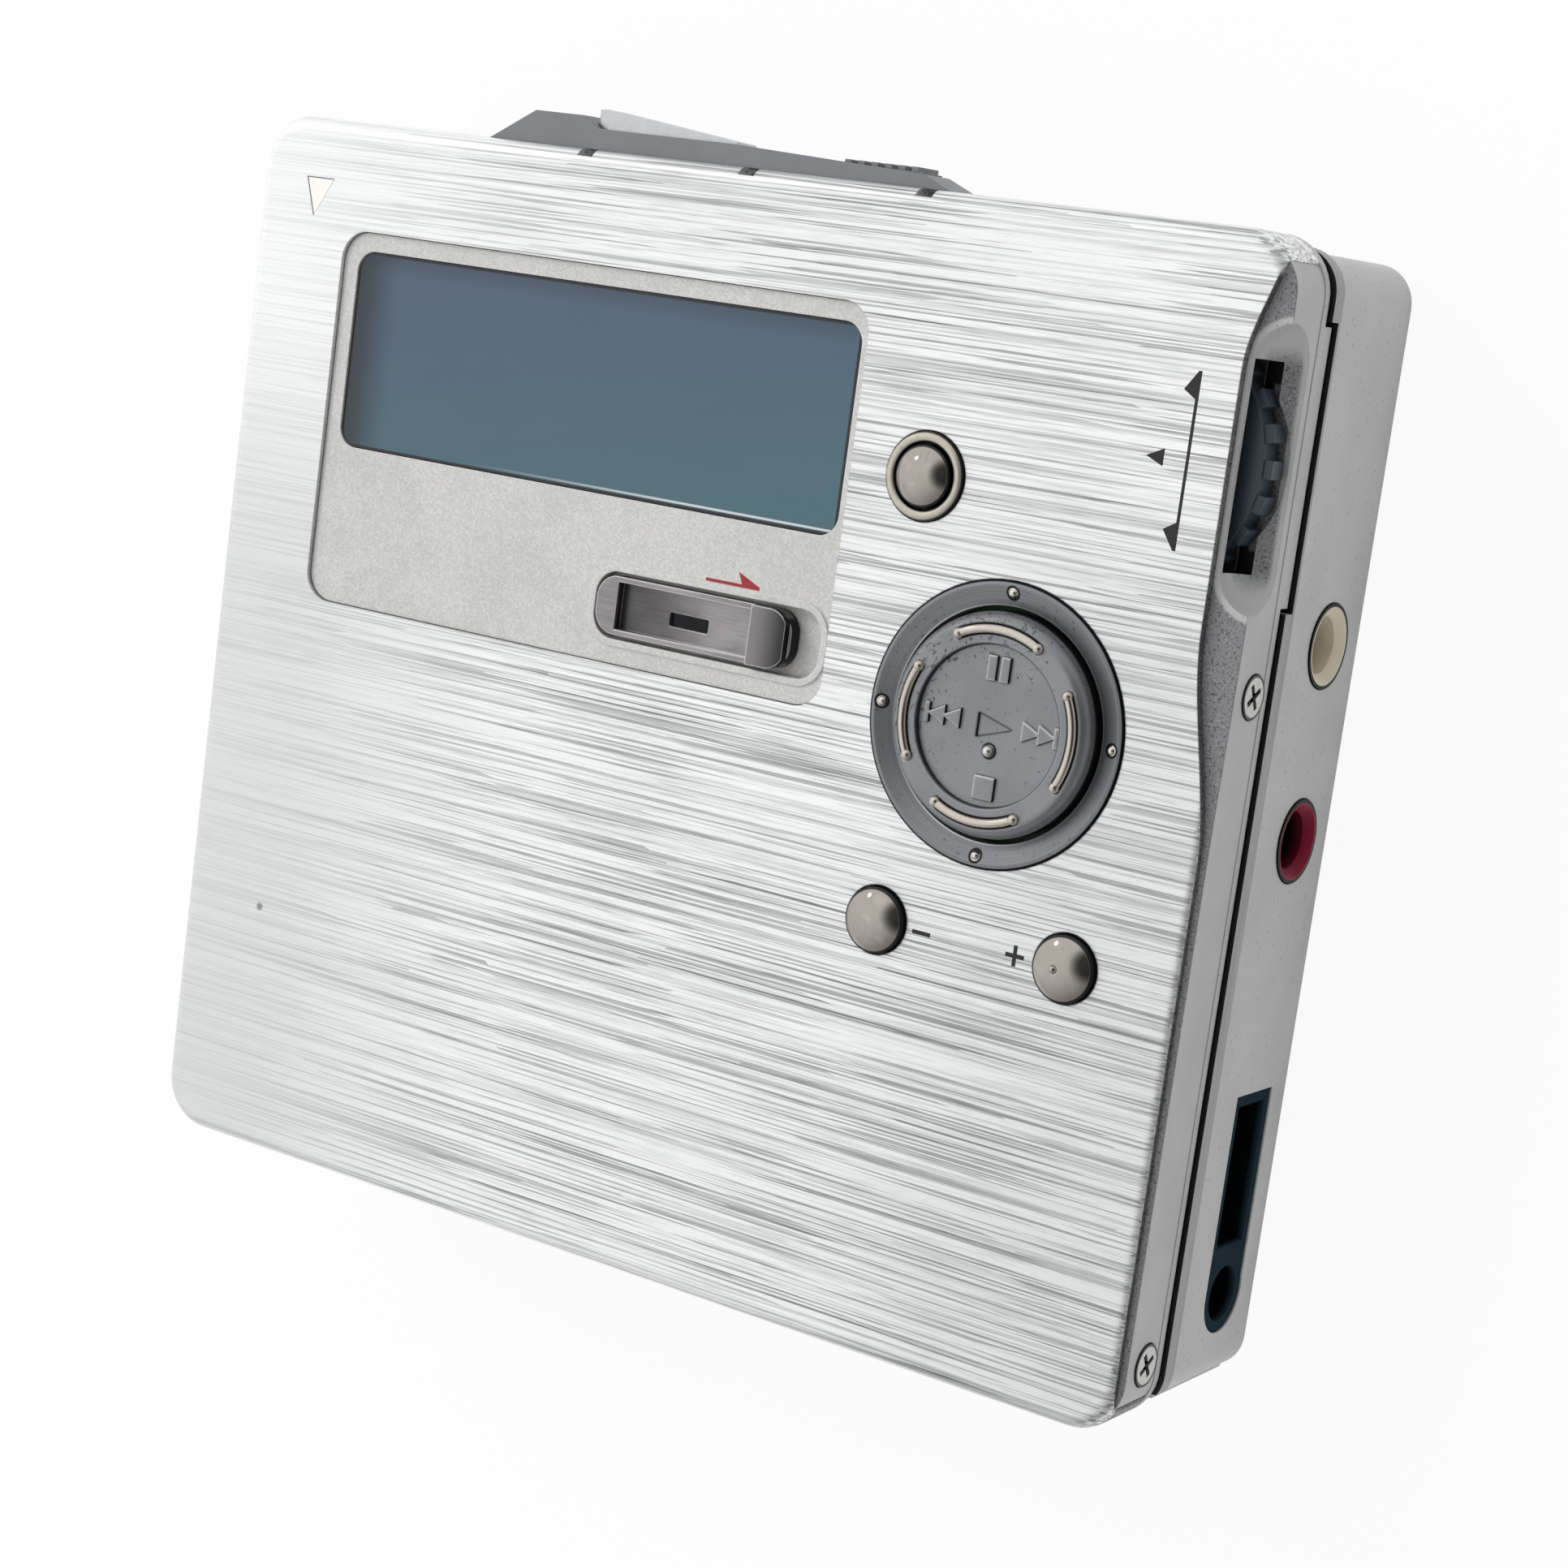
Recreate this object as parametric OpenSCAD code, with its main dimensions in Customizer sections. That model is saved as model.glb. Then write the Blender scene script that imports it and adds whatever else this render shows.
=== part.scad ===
// Portable minidisc recorder lying on its back: lower case with the disc mechanism,
// and a hinged lid that carries the display, the keys and the jog wheel.
// +X is the jack side, +Y the latch edge, +Z points out of the lid face.
// The origin is the centre of the outline on the back face.

/* [Cartridge] */
// Width of the disc cartridge across the holder
cartridge_w = 72; // [68:0.1:76]
// Depth of the disc cartridge along the way in
cartridge_d = 68; // [66:0.1:72]
// Thickness of the disc cartridge
cartridge_t = 5; // [4.6:0.1:5.6]

/* [Outline] */
// Height of the lid from its underside to its face
lid_h = 5.1; // [4.9:0.05:5.3]
// Gap between the lid and the trim belt
parting_gap = 0.3; // [0.15:0.05:0.4]
// Step by which the case is shallower than the lid on each long edge
case_step = 0.8; // [0.7:0.05:1]
// Plan radius of the lid corners
lid_corner_r = 3.5; // [3:0.1:4.5]
// Plan radius of the case corners
case_corner_r = 2.5; // [2:0.1:2.8]

/* [Shells] */
// Sheet thickness of the front plate
plate_t = 0.6; // [0.4:0.05:0.7]
// Rounding of the front plate's outer edge
plate_edge_r = 1; // [0.8:0.1:1.4]
// Height of the lid frame's bare lip below the plate skirt
frame_lip = 0.6; // [0.4:0.1:1]
// Wall of the case and of the bare side of the lid frame
wall = 1; // [0.8:0.05:1.2]
// Wall of the case along the hinge and latch edges
long_wall = 0.8; // [0.7:0.05:1]
// Thickness of the case floor
floor_t = 1; // [0.8:0.05:1.2]
// Thickness of the lid frame's deck
deck_t = 0.8; // [0.6:0.05:1]
// Height of the trim belt round the case
belt_h = 1.2; // [0.9:0.1:2]
// Distance that the trim belt stands proud of the case
belt_proud = 0.25; // [0.1:0.05:0.26]

/* [Display] */
// Width of the display bezel
bezel_w = 42.6; // [40:0.1:44]
// Depth of the display bezel
bezel_d = 25.2; // [24:0.1:27]
// Distance of the bezel from the left edge of the lid
bezel_from_left = 8.2; // [6:0.1:9]
// Distance of the bezel from the latch edge of the lid
bezel_from_top = 7.3; // [6.6:0.1:8]
// Corner radius of the bezel
bezel_corner_r = 2; // [1.2:0.1:3]
// Depth of the bezel's face below the lid face
bezel_sink = 0.3; // [0.1:0.05:0.4]
// Depth of the display window
window_d = 13.3; // [11:0.1:14]
// Margin of the bezel above the window
window_top_margin = 1.2; // [0.9:0.1:2]
// Margin of the bezel beside the window at the key side
window_right_margin = 0.5; // [0.4:0.05:1.2]
// Margin of the bezel beside the window at the far side
window_left_margin = 1.2; // [0.9:0.1:2]
// Corner radius of the window
window_corner_r = 1.4; // [0.6:0.1:2]

/* [Record slider] */
// Length of the slider's pocket
rec_pocket_l = 17.6; // [16:0.1:19]
// Width of the slider's pocket
rec_pocket_w = 4.4; // [4:0.1:5]
// Travel of the record slider
rec_travel = 2.1; // [1.2:0.1:2.6]

/* [Keys] */
// Radius of the volume buttons
vol_r = 2.05; // [1.8:0.05:2.3]
// Radius of the group button
group_r = 1.9; // [1.6:0.05:2]
// Outer radius of the collar round the group button
group_collar_r = 2.75; // [2.5:0.05:3.1]
// Rise of the button domes above the lid face
dome_rise = 1; // [0.6:0.1:1.4]
// Travel of the small buttons
button_travel = 0.4; // [0.2:0.05:0.42]
// Outer radius of the ring round the control key
dial_ring_r = 8.75; // [8.4:0.05:9.2]
// Radius of the control key
key_r = 6.9; // [6.4:0.05:7.1]
// Rise of the control key above the lid face
key_rise = 1.05; // [0.8:0.05:1.2]
// Travel of the control key when it is pressed
key_travel = 0.3; // [0.15:0.05:0.32]

/* [Jog wheel] */
// Outer radius of the jog wheel's teeth
jog_r = 8.2; // [7.6:0.1:8.6]
// Height of the jog wheel's teeth
jog_tooth_h = 0.5; // [0.4:0.1:0.9]
// Number of teeth
jog_teeth = 24; // [16:1:28]
// Thickness of the jog wheel
jog_t = 1.8; // [1.4:0.1:2]
// Distance that the jog wheel moves in when it is pressed
jog_travel = 0.8; // [0.4:0.1:1]

/* [Jacks] */
// Radius of a 3.5 mm jack's bore
jack_bore_r = 1.8; // [1.75:0.05:2]
// Outer radius of a jack's coloured collar
jack_collar_r = 2.65; // [2.4:0.05:3.1]
// Depth of the jack bores
jack_depth = 12.5; // [11:0.5:13]
// Height of the jack centres above the back face
jack_z = 4.4; // [4.3:0.05:4.5]

/* [Disc mechanism] */
// Sheet thickness of the disc holder
holder_t = 0.3; // [0.2:0.05:0.4]
// Radius of the spindle rotor
rotor_r = 9; // [7:0.1:9.2]
// Travel of the pickup sled from the inner to the outer track
sled_travel = 16.5; // [12:0.1:16.8]
// Radius of the lens at the innermost track
inner_track_r = 14.5; // [14.4:0.1:14.8]

/* [Battery] */
// Width of the flat battery
battery_w = 17; // [15:0.1:18]
// Thickness of the flat battery
battery_t = 6; // [5.4:0.1:6.6]

/* [Hidden] */
$fn = 64;

// Clearances
fit = 0.05;
slide_gap = 0.1;
hinge_gap = 0.15;
over = 1;

// Width: the cartridge, its holder, the lid's ear, the case's lug and the wall side by side
cartridge_gap = 0.15;
ear_t = 0.8;
lug_t = 0.55;
holder_in_w = cartridge_w / 2 + cartridge_gap;
holder_out_w = holder_in_w + holder_t;
ear_in = holder_out_w + hinge_gap;
lug_in = ear_in + ear_t + hinge_gap;
in_w = lug_in + lug_t + slide_gap;
half_w = in_w + wall;
lid_w = 2 * half_w;

// Depth: the cartridge, the end of its holder, the case wall and the step to the lid
holder_back = -cartridge_d / 2;
in_d = cartridge_d / 2 + holder_t + slide_gap;
case_half_d = in_d + long_wall;
case_d = 2 * case_half_d;
half_d = case_half_d + case_step;
lid_d = 2 * half_d;
holder_front = holder_back + cartridge_d - 0.5;
frame_long_wall = half_d - plate_t - in_d - slide_gap;
lip_step = 0.05;

// Height: the battery bay, the holder with its cartridge, and the lid's board, deck and plate
board_t = 0.6;
bay_gap = 0.4;
board_gap = 0.8;
deck_gap = 1.3;
holder_floor = floor_t + battery_t + bay_gap + holder_t;
holder_ceiling = holder_floor + cartridge_t;
holder_top = holder_ceiling + holder_t;
lid_board_bot = holder_top + board_gap;
lid_board_top = lid_board_bot + board_t;
deck_bot = lid_board_top + deck_gap;
deck_top = deck_bot + deck_t;
face_z = deck_top + plate_t;
parting_z = face_z - lid_h;
switch_top = lid_board_top + 0.5;
bezel_top = face_z - bezel_sink;
bezel_bot = deck_bot - 0.5;
window_seat = bezel_bot + 0.7;
belt_top = parting_z - parting_gap;
belt_bot = belt_top - belt_h;

// Jog wheel
jog_x = half_w - 0.55 - jog_r;
jog_y = half_d - 13.5;
jog_z0 = lid_board_bot - 0.45;
jog_z1 = jog_z0 + jog_t;
jog_pin_r = 1;
jog_slot_half = 6.2;
jog_slot_gap = 0.25;
dish_r = 2.58;
dish_half = 5.9;
jog_pad_t = 1.6;
jog_pad_half = 10.5;
slider_y0 = jog_y + 1.5;
slider_y1 = jog_y + 6.5;

// Right edge of the front plate and the scallop that frees the jog wheel
plate_right = half_w - 0.45;
scallop_depth = 1.95;
scallop_y0 = jog_y - 9.5;
scallop_y1 = jog_y + 5.5;
scallop_lower = 13.5;
scallop_upper = 8.5;
shoulder_angle = 7;
sweep = 8;

// Tongue of the lid frame that dips into the belt under the jog wheel
tongue_y0 = jog_y - 8;
tongue_y1 = jog_y + 8.5;
tongue_z = belt_bot + 0.3 + parting_gap;

// Hinge of the lid
hinge_y = holder_back + 0.2;
hinge_z = parting_z - 0.1;
hinge_pin_r = 0.5;
hinge_ear_r = 1;
lid_angle = 35;

// Disc holder
holder_rail_w = 2.5;
shutter_slot_w = 9;

// Lower layers
board_z = floor_t + 0.6;
chip_h = 0.8;
chassis_z = board_z + board_t + chip_h + 0.4;
chassis_t = 0.6;
chassis_top = chassis_z + chassis_t;
plate_left = -in_w + slide_gap + lug_t + slide_gap;
plate_right_end = in_w - jack_depth - 1.8;
shaft_z = chassis_top + 1.3;
shaft_r = 0.8;
main_shaft_y = -11;
sub_shaft_y = 10;
screw_y = -15;
screw_shaft_r = 0.7;
shaft_left = -in_w + 0.8;
shaft_right = -4;
tab_t = 0.6;
tab_r = 1.3;
motor_x = -1.8;
motor_r = 2.05;
motor_l = 10;
sled_bot = chassis_top + 0.2;
sled_top = holder_floor - holder_t - 0.3;
lens_ahead = 5;
lens_behind = 5.5;
lens_r = 2;
bush_l = 2.4;
hub_r = 5;
hub_top = holder_floor + 0.55;
rotor_bot = chassis_top + 0.8;
rotor_top = sled_top - 0.1;

// Battery bay along the latch edge
bay_left = 4.2;
bay_right = 5.2;
battery_x0 = -in_w + bay_left;
battery_l = 2 * in_w - bay_left - bay_right;
battery_y0 = in_d - 2.1 - battery_w;
door_pin_r = 0.3;
door_axis_x = -half_w + wall / 2;
door_axis_y = battery_y0 + 0.4;
door_y1 = battery_y0 + battery_w - 0.1;
door_z0 = floor_t + fit;
door_z1 = floor_t + battery_t + 0.35;

// Jacks along the sides
line_y = battery_y0 - 3.2;
mic_y = line_y - 12.1;
jack_half = 3;
jack_bot = floor_t + 0.4;
jack_top = holder_floor - holder_t - 0.4;
remote_y = -half_d + 7;
remote_z = jack_z;
remote_slot_l = 10.95;
remote_slot_z0 = jack_z - 2.4;
remote_slot_z1 = jack_z + 2.5;
remote_end_r = remote_slot_z1 - remote_z;
remote_end_y = remote_y + remote_end_r + remote_slot_l;
dc_y = -half_d + 14;
dc_r = 2.4;
dc_l = 10;

// Key places on the lid face: the dial is midway between the bezel and the plate's right edge
bezel_x = -half_w + bezel_from_left + bezel_w / 2;
bezel_y = half_d - bezel_from_top - bezel_d / 2;
bezel_x1 = bezel_x + bezel_w / 2;
dial_x = (bezel_x1 + half_w - 2.3) / 2;
dial_y = half_d - 31.05;
group_share = 5.45 / 27.6;
group_x = bezel_x1 + (half_w - bezel_x1) * group_share;
group_y = half_d - 17.05;
vol_down_x = half_w - 21.22;
vol_up_x = half_w - 7.85;
vol_y = half_d - 44.48;
key_pivot_z = deck_bot - 0.1;
ring_gap = 0.3;
rocker_switch_r = 4.5;

// Display
window_w = bezel_w - window_left_margin - window_right_margin;
window_x = bezel_x + bezel_w / 2 - window_right_margin - window_w / 2;
window_y = bezel_y + bezel_d / 2 - window_top_margin - window_d / 2;

// Record slider
rec_l = rec_pocket_l - rec_travel - 2 * slide_gap;
rec_x0 = bezel_x + bezel_w / 2 - 0.5 - rec_pocket_l;
rec_y = bezel_y - bezel_d / 2 + 3.8;
rec_floor = bezel_top - 0.9;
rec_w = rec_pocket_w - 0.6;
rec_corner_r = 1.6;
rec_rim = 0.45;
nub_l = 2.9;

// Housing on the latch edge
hump_z0 = parting_z + 0.9;
hump_z1 = face_z - 1.1;
hump_rise = 2.1;
hump_x0 = -20.4;
hump_x1 = 15.4;
open_travel = 2;
open_x0 = 7;
open_l = 6;
mark_x0 = -11.9;
mark_l = 11;
mark_travel = 0.4;

// Rounded rectangle with true arcs, centred
module rounded(w, d, r) {
    square([w - 2 * r, d], center = true);
    square([w, d - 2 * r], center = true);
    for (sx = [-1, 1], sy = [-1, 1])
        translate([sx * (w / 2 - r), sy * (d / 2 - r)]) circle(r);
}

// Upright block with rounded corners between two heights
module block(w, d, r, z0, z1, x = 0, y = 0) {
    translate([x, y, z0]) linear_extrude(z1 - z0) rounded(w, d, r);
}

// Plain box from one corner to the other
module box(a, b) {
    translate(a) cube(b - a);
}

// Upright cylinder between two heights
module post(r, z0, z1, x = 0, y = 0) {
    translate([x, y, z0]) cylinder(r = r, h = z1 - z0);
}

// Cylinder along X between two places
module rod(r, x0, x1, y, z) {
    translate([x0, y, z]) rotate([0, 90, 0]) cylinder(r = r, h = x1 - x0);
}

// Sweeps a wall profile round a rounded rectangle; the profile's x starts at the corner centre
module rim(w, d, r) {
    run_x = w - 2 * r;
    run_y = d - 2 * r;
    for (c = [[1, 1, 0], [-1, 1, 90], [-1, -1, 180], [1, -1, 270]])
        translate([c[0] * run_x / 2, c[1] * run_y / 2, 0]) rotate(c[2]) rotate_extrude(angle = 90) children();
    for (s = [[run_x / 2, run_y, 0], [run_y / 2, run_x, 90], [run_x / 2, run_y, 180], [run_y / 2, run_x, 270]])
        rotate(s[2]) translate([s[0], s[1] / 2, 0]) rotate([90, 0, 0]) linear_extrude(s[1]) children();
}

// Section of a sheet bent over at its outer top edge, reach r from the corner centre
module bent_sheet(r, z0, z1, edge_r, t) {
    difference() {
        union() {
            translate([0, z0]) square([r, z1 - z0 - edge_r]);
            translate([0, z0]) square([r - edge_r, z1 - z0]);
            translate([r - edge_r, z1 - edge_r]) circle(edge_r);
        }
        translate([-over, z0 - over]) square([r - t + over, z1 - z0 - edge_r + over]);
        translate([-over, z0 - over]) square([r - edge_r + over, z1 - z0 - t + over]);
        translate([r - edge_r, z1 - edge_r]) circle(edge_r - t);
    }
}

// Soft rise from 0 to 1
function ease(u) = u <= 0 ? 0 : u >= 1 ? 1 : u * u * (3 - 2 * u);

// Depth of the scallop at a place along the right edge: even beside the jog wheel, with a longer run towards the hinge
function scallop(y) = scallop_depth * ease(y < scallop_y1
    ? (y - scallop_y0 + scallop_lower) / scallop_lower
    : (scallop_y1 + scallop_upper - y) / scallop_upper);

scallop_steps = concat(
    [for (i = [0:16]) scallop_y0 + scallop_lower * (i / 16 - 1)],
    [for (i = [0:12]) scallop_y1 + scallop_upper * i / 12]);

// Everything to the right of the plate's scalloped edge
module beyond_plate_edge() {
    polygon(concat(
        [[half_w + over, -half_d - over], [half_w + over, half_d + over], [plate_right, half_d + over]],
        [for (i = [len(scallop_steps) - 1:-1:0]) [plate_right - scallop(scallop_steps[i]), scallop_steps[i]]],
        [[plate_right, -half_d - over]]));
}

// Prism cut off the lid frame's right shoulder: the plate's edge line swept down the slope
module shoulder_cut() {
    edge = [for (y = scallop_steps) [y, -scallop(y) * sin(shoulder_angle)]];
    translate([plate_right, 0, deck_top]) rotate([0, shoulder_angle, 0]) translate([-sweep, 0, 0]) rotate([90, 0, 90])
        linear_extrude(2 * sweep) polygon(concat(
            [[-half_d - over, 0]], edge, [[half_d + over, 0], [half_d + over, sweep], [-half_d - over, sweep]]));
}

// Plan of the lid frame: inside the plate on three sides, bare on the right
module frame_plan() {
    translate([(plate_t - lip_step) / 2, 0])
        rounded(lid_w - plate_t - lip_step, lid_d - 2 * plate_t, lid_corner_r - plate_t);
}

module frame_hollow() {
    translate([-in_w, -half_d + plate_t + frame_long_wall])
        square([2 * in_w, lid_d - 2 * plate_t - 2 * frame_long_wall]);
}

// Lower case

module bottom_case() color("silver") {
    difference() {
        block(lid_w, case_d, case_corner_r, 0, belt_bot);
        block(2 * in_w, 2 * in_d, case_corner_r - long_wall, floor_t, belt_bot + over);
        for (y = [line_y, mic_y]) rod(jack_collar_r + fit, in_w - over, half_w + over, y, jack_z);
        translate([in_w - over, 0, 0]) rotate([90, 0, 90]) linear_extrude(wall + 2 * over) remote_plan(fit);
        rod(dc_r + fit, -half_w - over, -in_w + over, dc_y, jack_z);
        box([-half_w - over, door_axis_y - 0.55, door_z0 - 0.05], [-in_w + over, door_y1 + 0.1, door_z1 + 0.05]);
        post(door_pin_r + fit, door_z0 - 0.45, door_z1 + 0.5, door_axis_x, door_axis_y);
        screw_places() {
            post(1.35, -over, 0.65);
            post(0.6, -over, chassis_z + over);
        }
    }
    difference() {
        screw_places() post(1.6, floor_t - fit, chassis_z);
        screw_places() post(0.6, -over, chassis_z + over);
    }
    for (x = [-20, 15], y = [-25, 8]) post(1.2, floor_t - fit, board_z, x, y);
    hinge_lugs();
    hinge_sill();
    latch_catch();
}

// Top of the hinge wall, sloped to clear the opened lid
module hinge_sill() {
    sill_half = holder_in_w - hinge_gap;
    sill_top = hinge_z - 0.45;
    translate([-sill_half, 0, 0]) rotate([90, 0, 90]) linear_extrude(2 * sill_half)
        polygon([[-case_half_d, belt_bot - fit], [-in_d, belt_bot - fit], [-in_d, sill_top],
            [-case_half_d, sill_top - long_wall * tan(lid_angle)]]);
}

// Upright lugs inside the case walls that hold the hinge pins
module hinge_lugs() {
    for (side = [-1, 1]) difference() {
        x0 = side > 0 ? lug_in : -lug_in - lug_t;
        union() {
            rod(hinge_ear_r, x0, x0 + lug_t, hinge_y, hinge_z);
            box([x0, hinge_y - hinge_ear_r, floor_t - fit], [x0 + lug_t, hinge_y + hinge_ear_r, hinge_z]);
            box([side > 0 ? x0 : -in_w - fit, hinge_y - hinge_ear_r, floor_t - fit],
                [side > 0 ? in_w + fit : x0 + lug_t, hinge_y + hinge_ear_r, belt_bot]);
        }
        rod(hinge_pin_r, -half_w, half_w, hinge_y, hinge_z);
    }
}

// Catch on the outside of the latch wall, beside the slider's hook
module latch_catch() {
    box([open_x0 - 1.6, case_half_d - fit, belt_bot - 1.6], [open_x0 - 0.2 - open_travel + 1.2, case_half_d + 0.55, belt_bot - 0.9]);
}

// Places of the case screws under the chassis
module screw_places() {
    for (p = [[-in_w + 5.2, -in_d + 3.4], [in_w - 19.2, -in_d + 3.4], [in_w - 19.2, battery_y0 - 3.8], [-in_w + 12.2, battery_y0 - 2.7]])
        translate(p) children();
}

module case_screws() color("dimgray") {
    screw_places() difference() {
        union() {
            post(1.3, 0.05, 0.65);
            post(0.55, 0.65 - fit, chassis_top);
        }
        for (a = [0, 90]) rotate(a) translate([-0.75, -0.16, 0]) cube([1.5, 0.32, 0.4]);
    }
}

module trim_belt() color("gainsboro") {
    difference() {
        block(lid_w + 2 * belt_proud, case_d + 2 * belt_proud, case_corner_r + belt_proud, belt_bot, belt_top);
        block(2 * in_w, 2 * in_d, case_corner_r - long_wall, belt_bot - over, belt_top + over);
        box([-half_w - over, -half_d - over, belt_bot - over], [half_w + over, hinge_y - 0.3, belt_top + over]);
        box([-in_w, -half_d, belt_bot - over], [in_w, hinge_y + hinge_ear_r + 0.2, belt_top + over]);
        box([in_w - over, tongue_y0 - parting_gap, tongue_z - parting_gap], [half_w + over, tongue_y1 + parting_gap, belt_top + over]);
    }
}

module hinge_pins() color("silver") {
    for (x = [holder_in_w - fit, -lug_in - lug_t])
        rod(hinge_pin_r, x, x + lug_in + lug_t - holder_in_w + fit, hinge_y, hinge_z);
}

module main_board() color("darkgreen") {
    difference() {
        box([plate_left, -in_d + 0.4, board_z], [plate_right_end, battery_y0 - 0.6, board_z + board_t]);
        screw_places() post(1.75, board_z - over, board_z + over);
        box([-in_w, dc_y - jack_half - 0.2, 0], [-in_w + dc_l + 1, dc_y + jack_half + 0.2, board_z + over]);
    }
}

module board_chips() color([0.15, 0.15, 0.16]) {
    for (c = [[-14, -27, 10, 10], [2, -26, 8, 8], [12, -8, 7, 10], [-20, -19, 5, 4], [11, 5, 5, 5], [-6, -12, 6, 4]])
        box([c[0], c[1], board_z + board_t], [c[0] + c[2], c[1] + c[3], board_z + board_t + chip_h]);
}

module chassis() color("lightgray") {
    difference() {
        union() {
            box([plate_left, -in_d + 0.6, chassis_z], [plate_right_end, battery_y0 - 0.6, chassis_top]);
            for (y = [main_shaft_y, sub_shaft_y], x = [shaft_left, shaft_right - tab_t])
                shaft_tab(x, y);
            shaft_tab(shaft_left, screw_y);
        }
        box([-in_w + 1.6, main_shaft_y + 2, chassis_z - over], [-rotor_r - 1, sub_shaft_y - 2, chassis_top + over]);
        box([motor_x, screw_y - motor_r - 0.3, chassis_z - over], [motor_x + motor_l + 2.2, screw_y + motor_r + 0.3, chassis_top + over]);
        for (y = [main_shaft_y, sub_shaft_y]) rod(shaft_r, -half_w, 0, y, shaft_z);
        rod(screw_shaft_r + fit, -half_w, 0, screw_y, shaft_z);
        screw_places() post(0.6, chassis_z - over, chassis_top + over);
        box([-in_w, dc_y - jack_half - 0.2, 0], [-in_w + dc_l + 1, dc_y + jack_half + 0.2, chassis_top + over]);
        for (p = [[12, -25, 4], [-22, -25, 4], [14, 4, 3]]) post(p[2], chassis_z - over, chassis_top + over, p[0], p[1]);
    }
    motor_cradle();
}

// Upstand of the chassis that holds one end of a shaft
module shaft_tab(x, y) {
    rod(tab_r, x, x + tab_t, y, shaft_z);
    box([x, y - tab_r, chassis_top - fit], [x + tab_t, y + tab_r, shaft_z]);
}

// Upstand at the shaft end of the sled motor
module motor_cradle() {
    difference() {
        union() {
            rod(motor_r, motor_x - tab_t, motor_x, screw_y, shaft_z);
            box([motor_x - tab_t, screw_y - motor_r, chassis_top - fit], [motor_x, screw_y + motor_r, shaft_z]);
        }
        rod(screw_shaft_r + fit, motor_x - over, motor_x + over, screw_y, shaft_z);
    }
}

module spindle_motor() color("darkslategray") {
    difference() {
        union() {
            post(rotor_r - 0.6, chassis_top, chassis_top + 0.5);
            post(2, chassis_top, rotor_top - 1);
        }
        post(0.8, chassis_top - over, rotor_top);
    }
    for (a = [0:40:320]) rotate(a) box([3, -0.9, chassis_top + 0.5 - fit], [6, 0.9, rotor_bot + 0.5]);
}

module turntable() color("silver") {
    rotate_extrude() difference() {
        union() {
            translate([0, rotor_bot]) square([rotor_r, rotor_top - rotor_bot]);
            translate([0, rotor_top - fit]) square([hub_r, hub_top - rotor_top - 0.4 + fit]);
            translate([0, rotor_top]) square([3.2, hub_top - rotor_top]);
        }
        translate([2.3, rotor_bot - over]) square([rotor_r - 0.6 - 2.3, rotor_top - rotor_bot - 0.6 + over]);
        translate([-over, rotor_bot - over]) square([2.3 + 2 * over, rotor_top - 0.6 - rotor_bot + over - 0.3]);
    }
    post(0.75, chassis_top + 0.1, rotor_top - 0.2);
}

module guide_shafts() color("silver") {
    for (y = [main_shaft_y, sub_shaft_y]) rod(shaft_r, shaft_left, shaft_right, y, shaft_z);
}

module sled_motor() color("slategray") {
    difference() {
        rod(motor_r, motor_x, motor_x + motor_l, screw_y, shaft_z);
        rod(screw_shaft_r + fit, motor_x - over, motor_x + 0.8, screw_y, shaft_z);
    }
}

module lead_screw() color("darkgray") rod(screw_shaft_r, shaft_left, motor_x + 0.7, screw_y, shaft_z);

module pickup_sled() color("dimgray") {
    x0 = -inner_track_r - lens_behind;
    x1 = -inner_track_r + lens_ahead;
    difference() {
        union() {
            box([x0, main_shaft_y + 2.2, sled_bot], [x1, sub_shaft_y - 2.2, sled_top]);
            for (x = [x0, x1 - bush_l]) rod(shaft_z - sled_bot, x, x + bush_l, main_shaft_y, shaft_z);
            for (x = [x0, x1 - bush_l]) box([x, main_shaft_y, sled_bot], [x + bush_l, main_shaft_y + 3, shaft_z + 1]);
            box([x0 + 3, sub_shaft_y - 3, sled_bot], [x1 - 3, sub_shaft_y + 1.2, shaft_z + 1.5]);
            box([x0 + 4, screw_y + screw_shaft_r + 0.1, shaft_z - 0.5], [x1 - 4, main_shaft_y + 2.3, shaft_z + 1.4]);
        }
        rod(shaft_r + fit, -half_w, 0, main_shaft_y, shaft_z);
        box([-half_w, sub_shaft_y - shaft_r - 0.1, shaft_z - shaft_r - fit], [0, sub_shaft_y + 2, shaft_z + shaft_r + fit]);
        post(lens_r + 0.3, sled_top - 1.2, sled_top + over, -inner_track_r, 0);
        box([x0 + 1.5, -7.5, sled_top - 0.5], [x1 - 1.5, -3.4, sled_top + over]);
        box([x0 + 1.5, 3.4, sled_top - 0.5], [x1 - 1.5, 6.6, sled_top + over]);
    }
}

module objective_lens() color("lightsteelblue") {
    post(lens_r, sled_top - 0.9, sled_top - 0.15, -inner_track_r, 0);
    translate([-inner_track_r, 0, sled_top - 0.15 - fit]) rotate_extrude() intersection() {
        translate([0, 0.3 - 1.8]) circle(1.8);
        square([1.3, 1]);
    }
}

module battery() color("steelblue") {
    translate([battery_x0, battery_y0 + battery_w / 2, floor_t + battery_t / 2]) rotate([90, 0, 90]) {
        linear_extrude(battery_l - 0.8) rounded(battery_w, battery_t, 1.5);
        translate([0, 0, battery_l - 0.8 - fit]) linear_extrude(0.8 + fit) rounded(6, 2.6, 1.2);
    }
}

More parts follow.
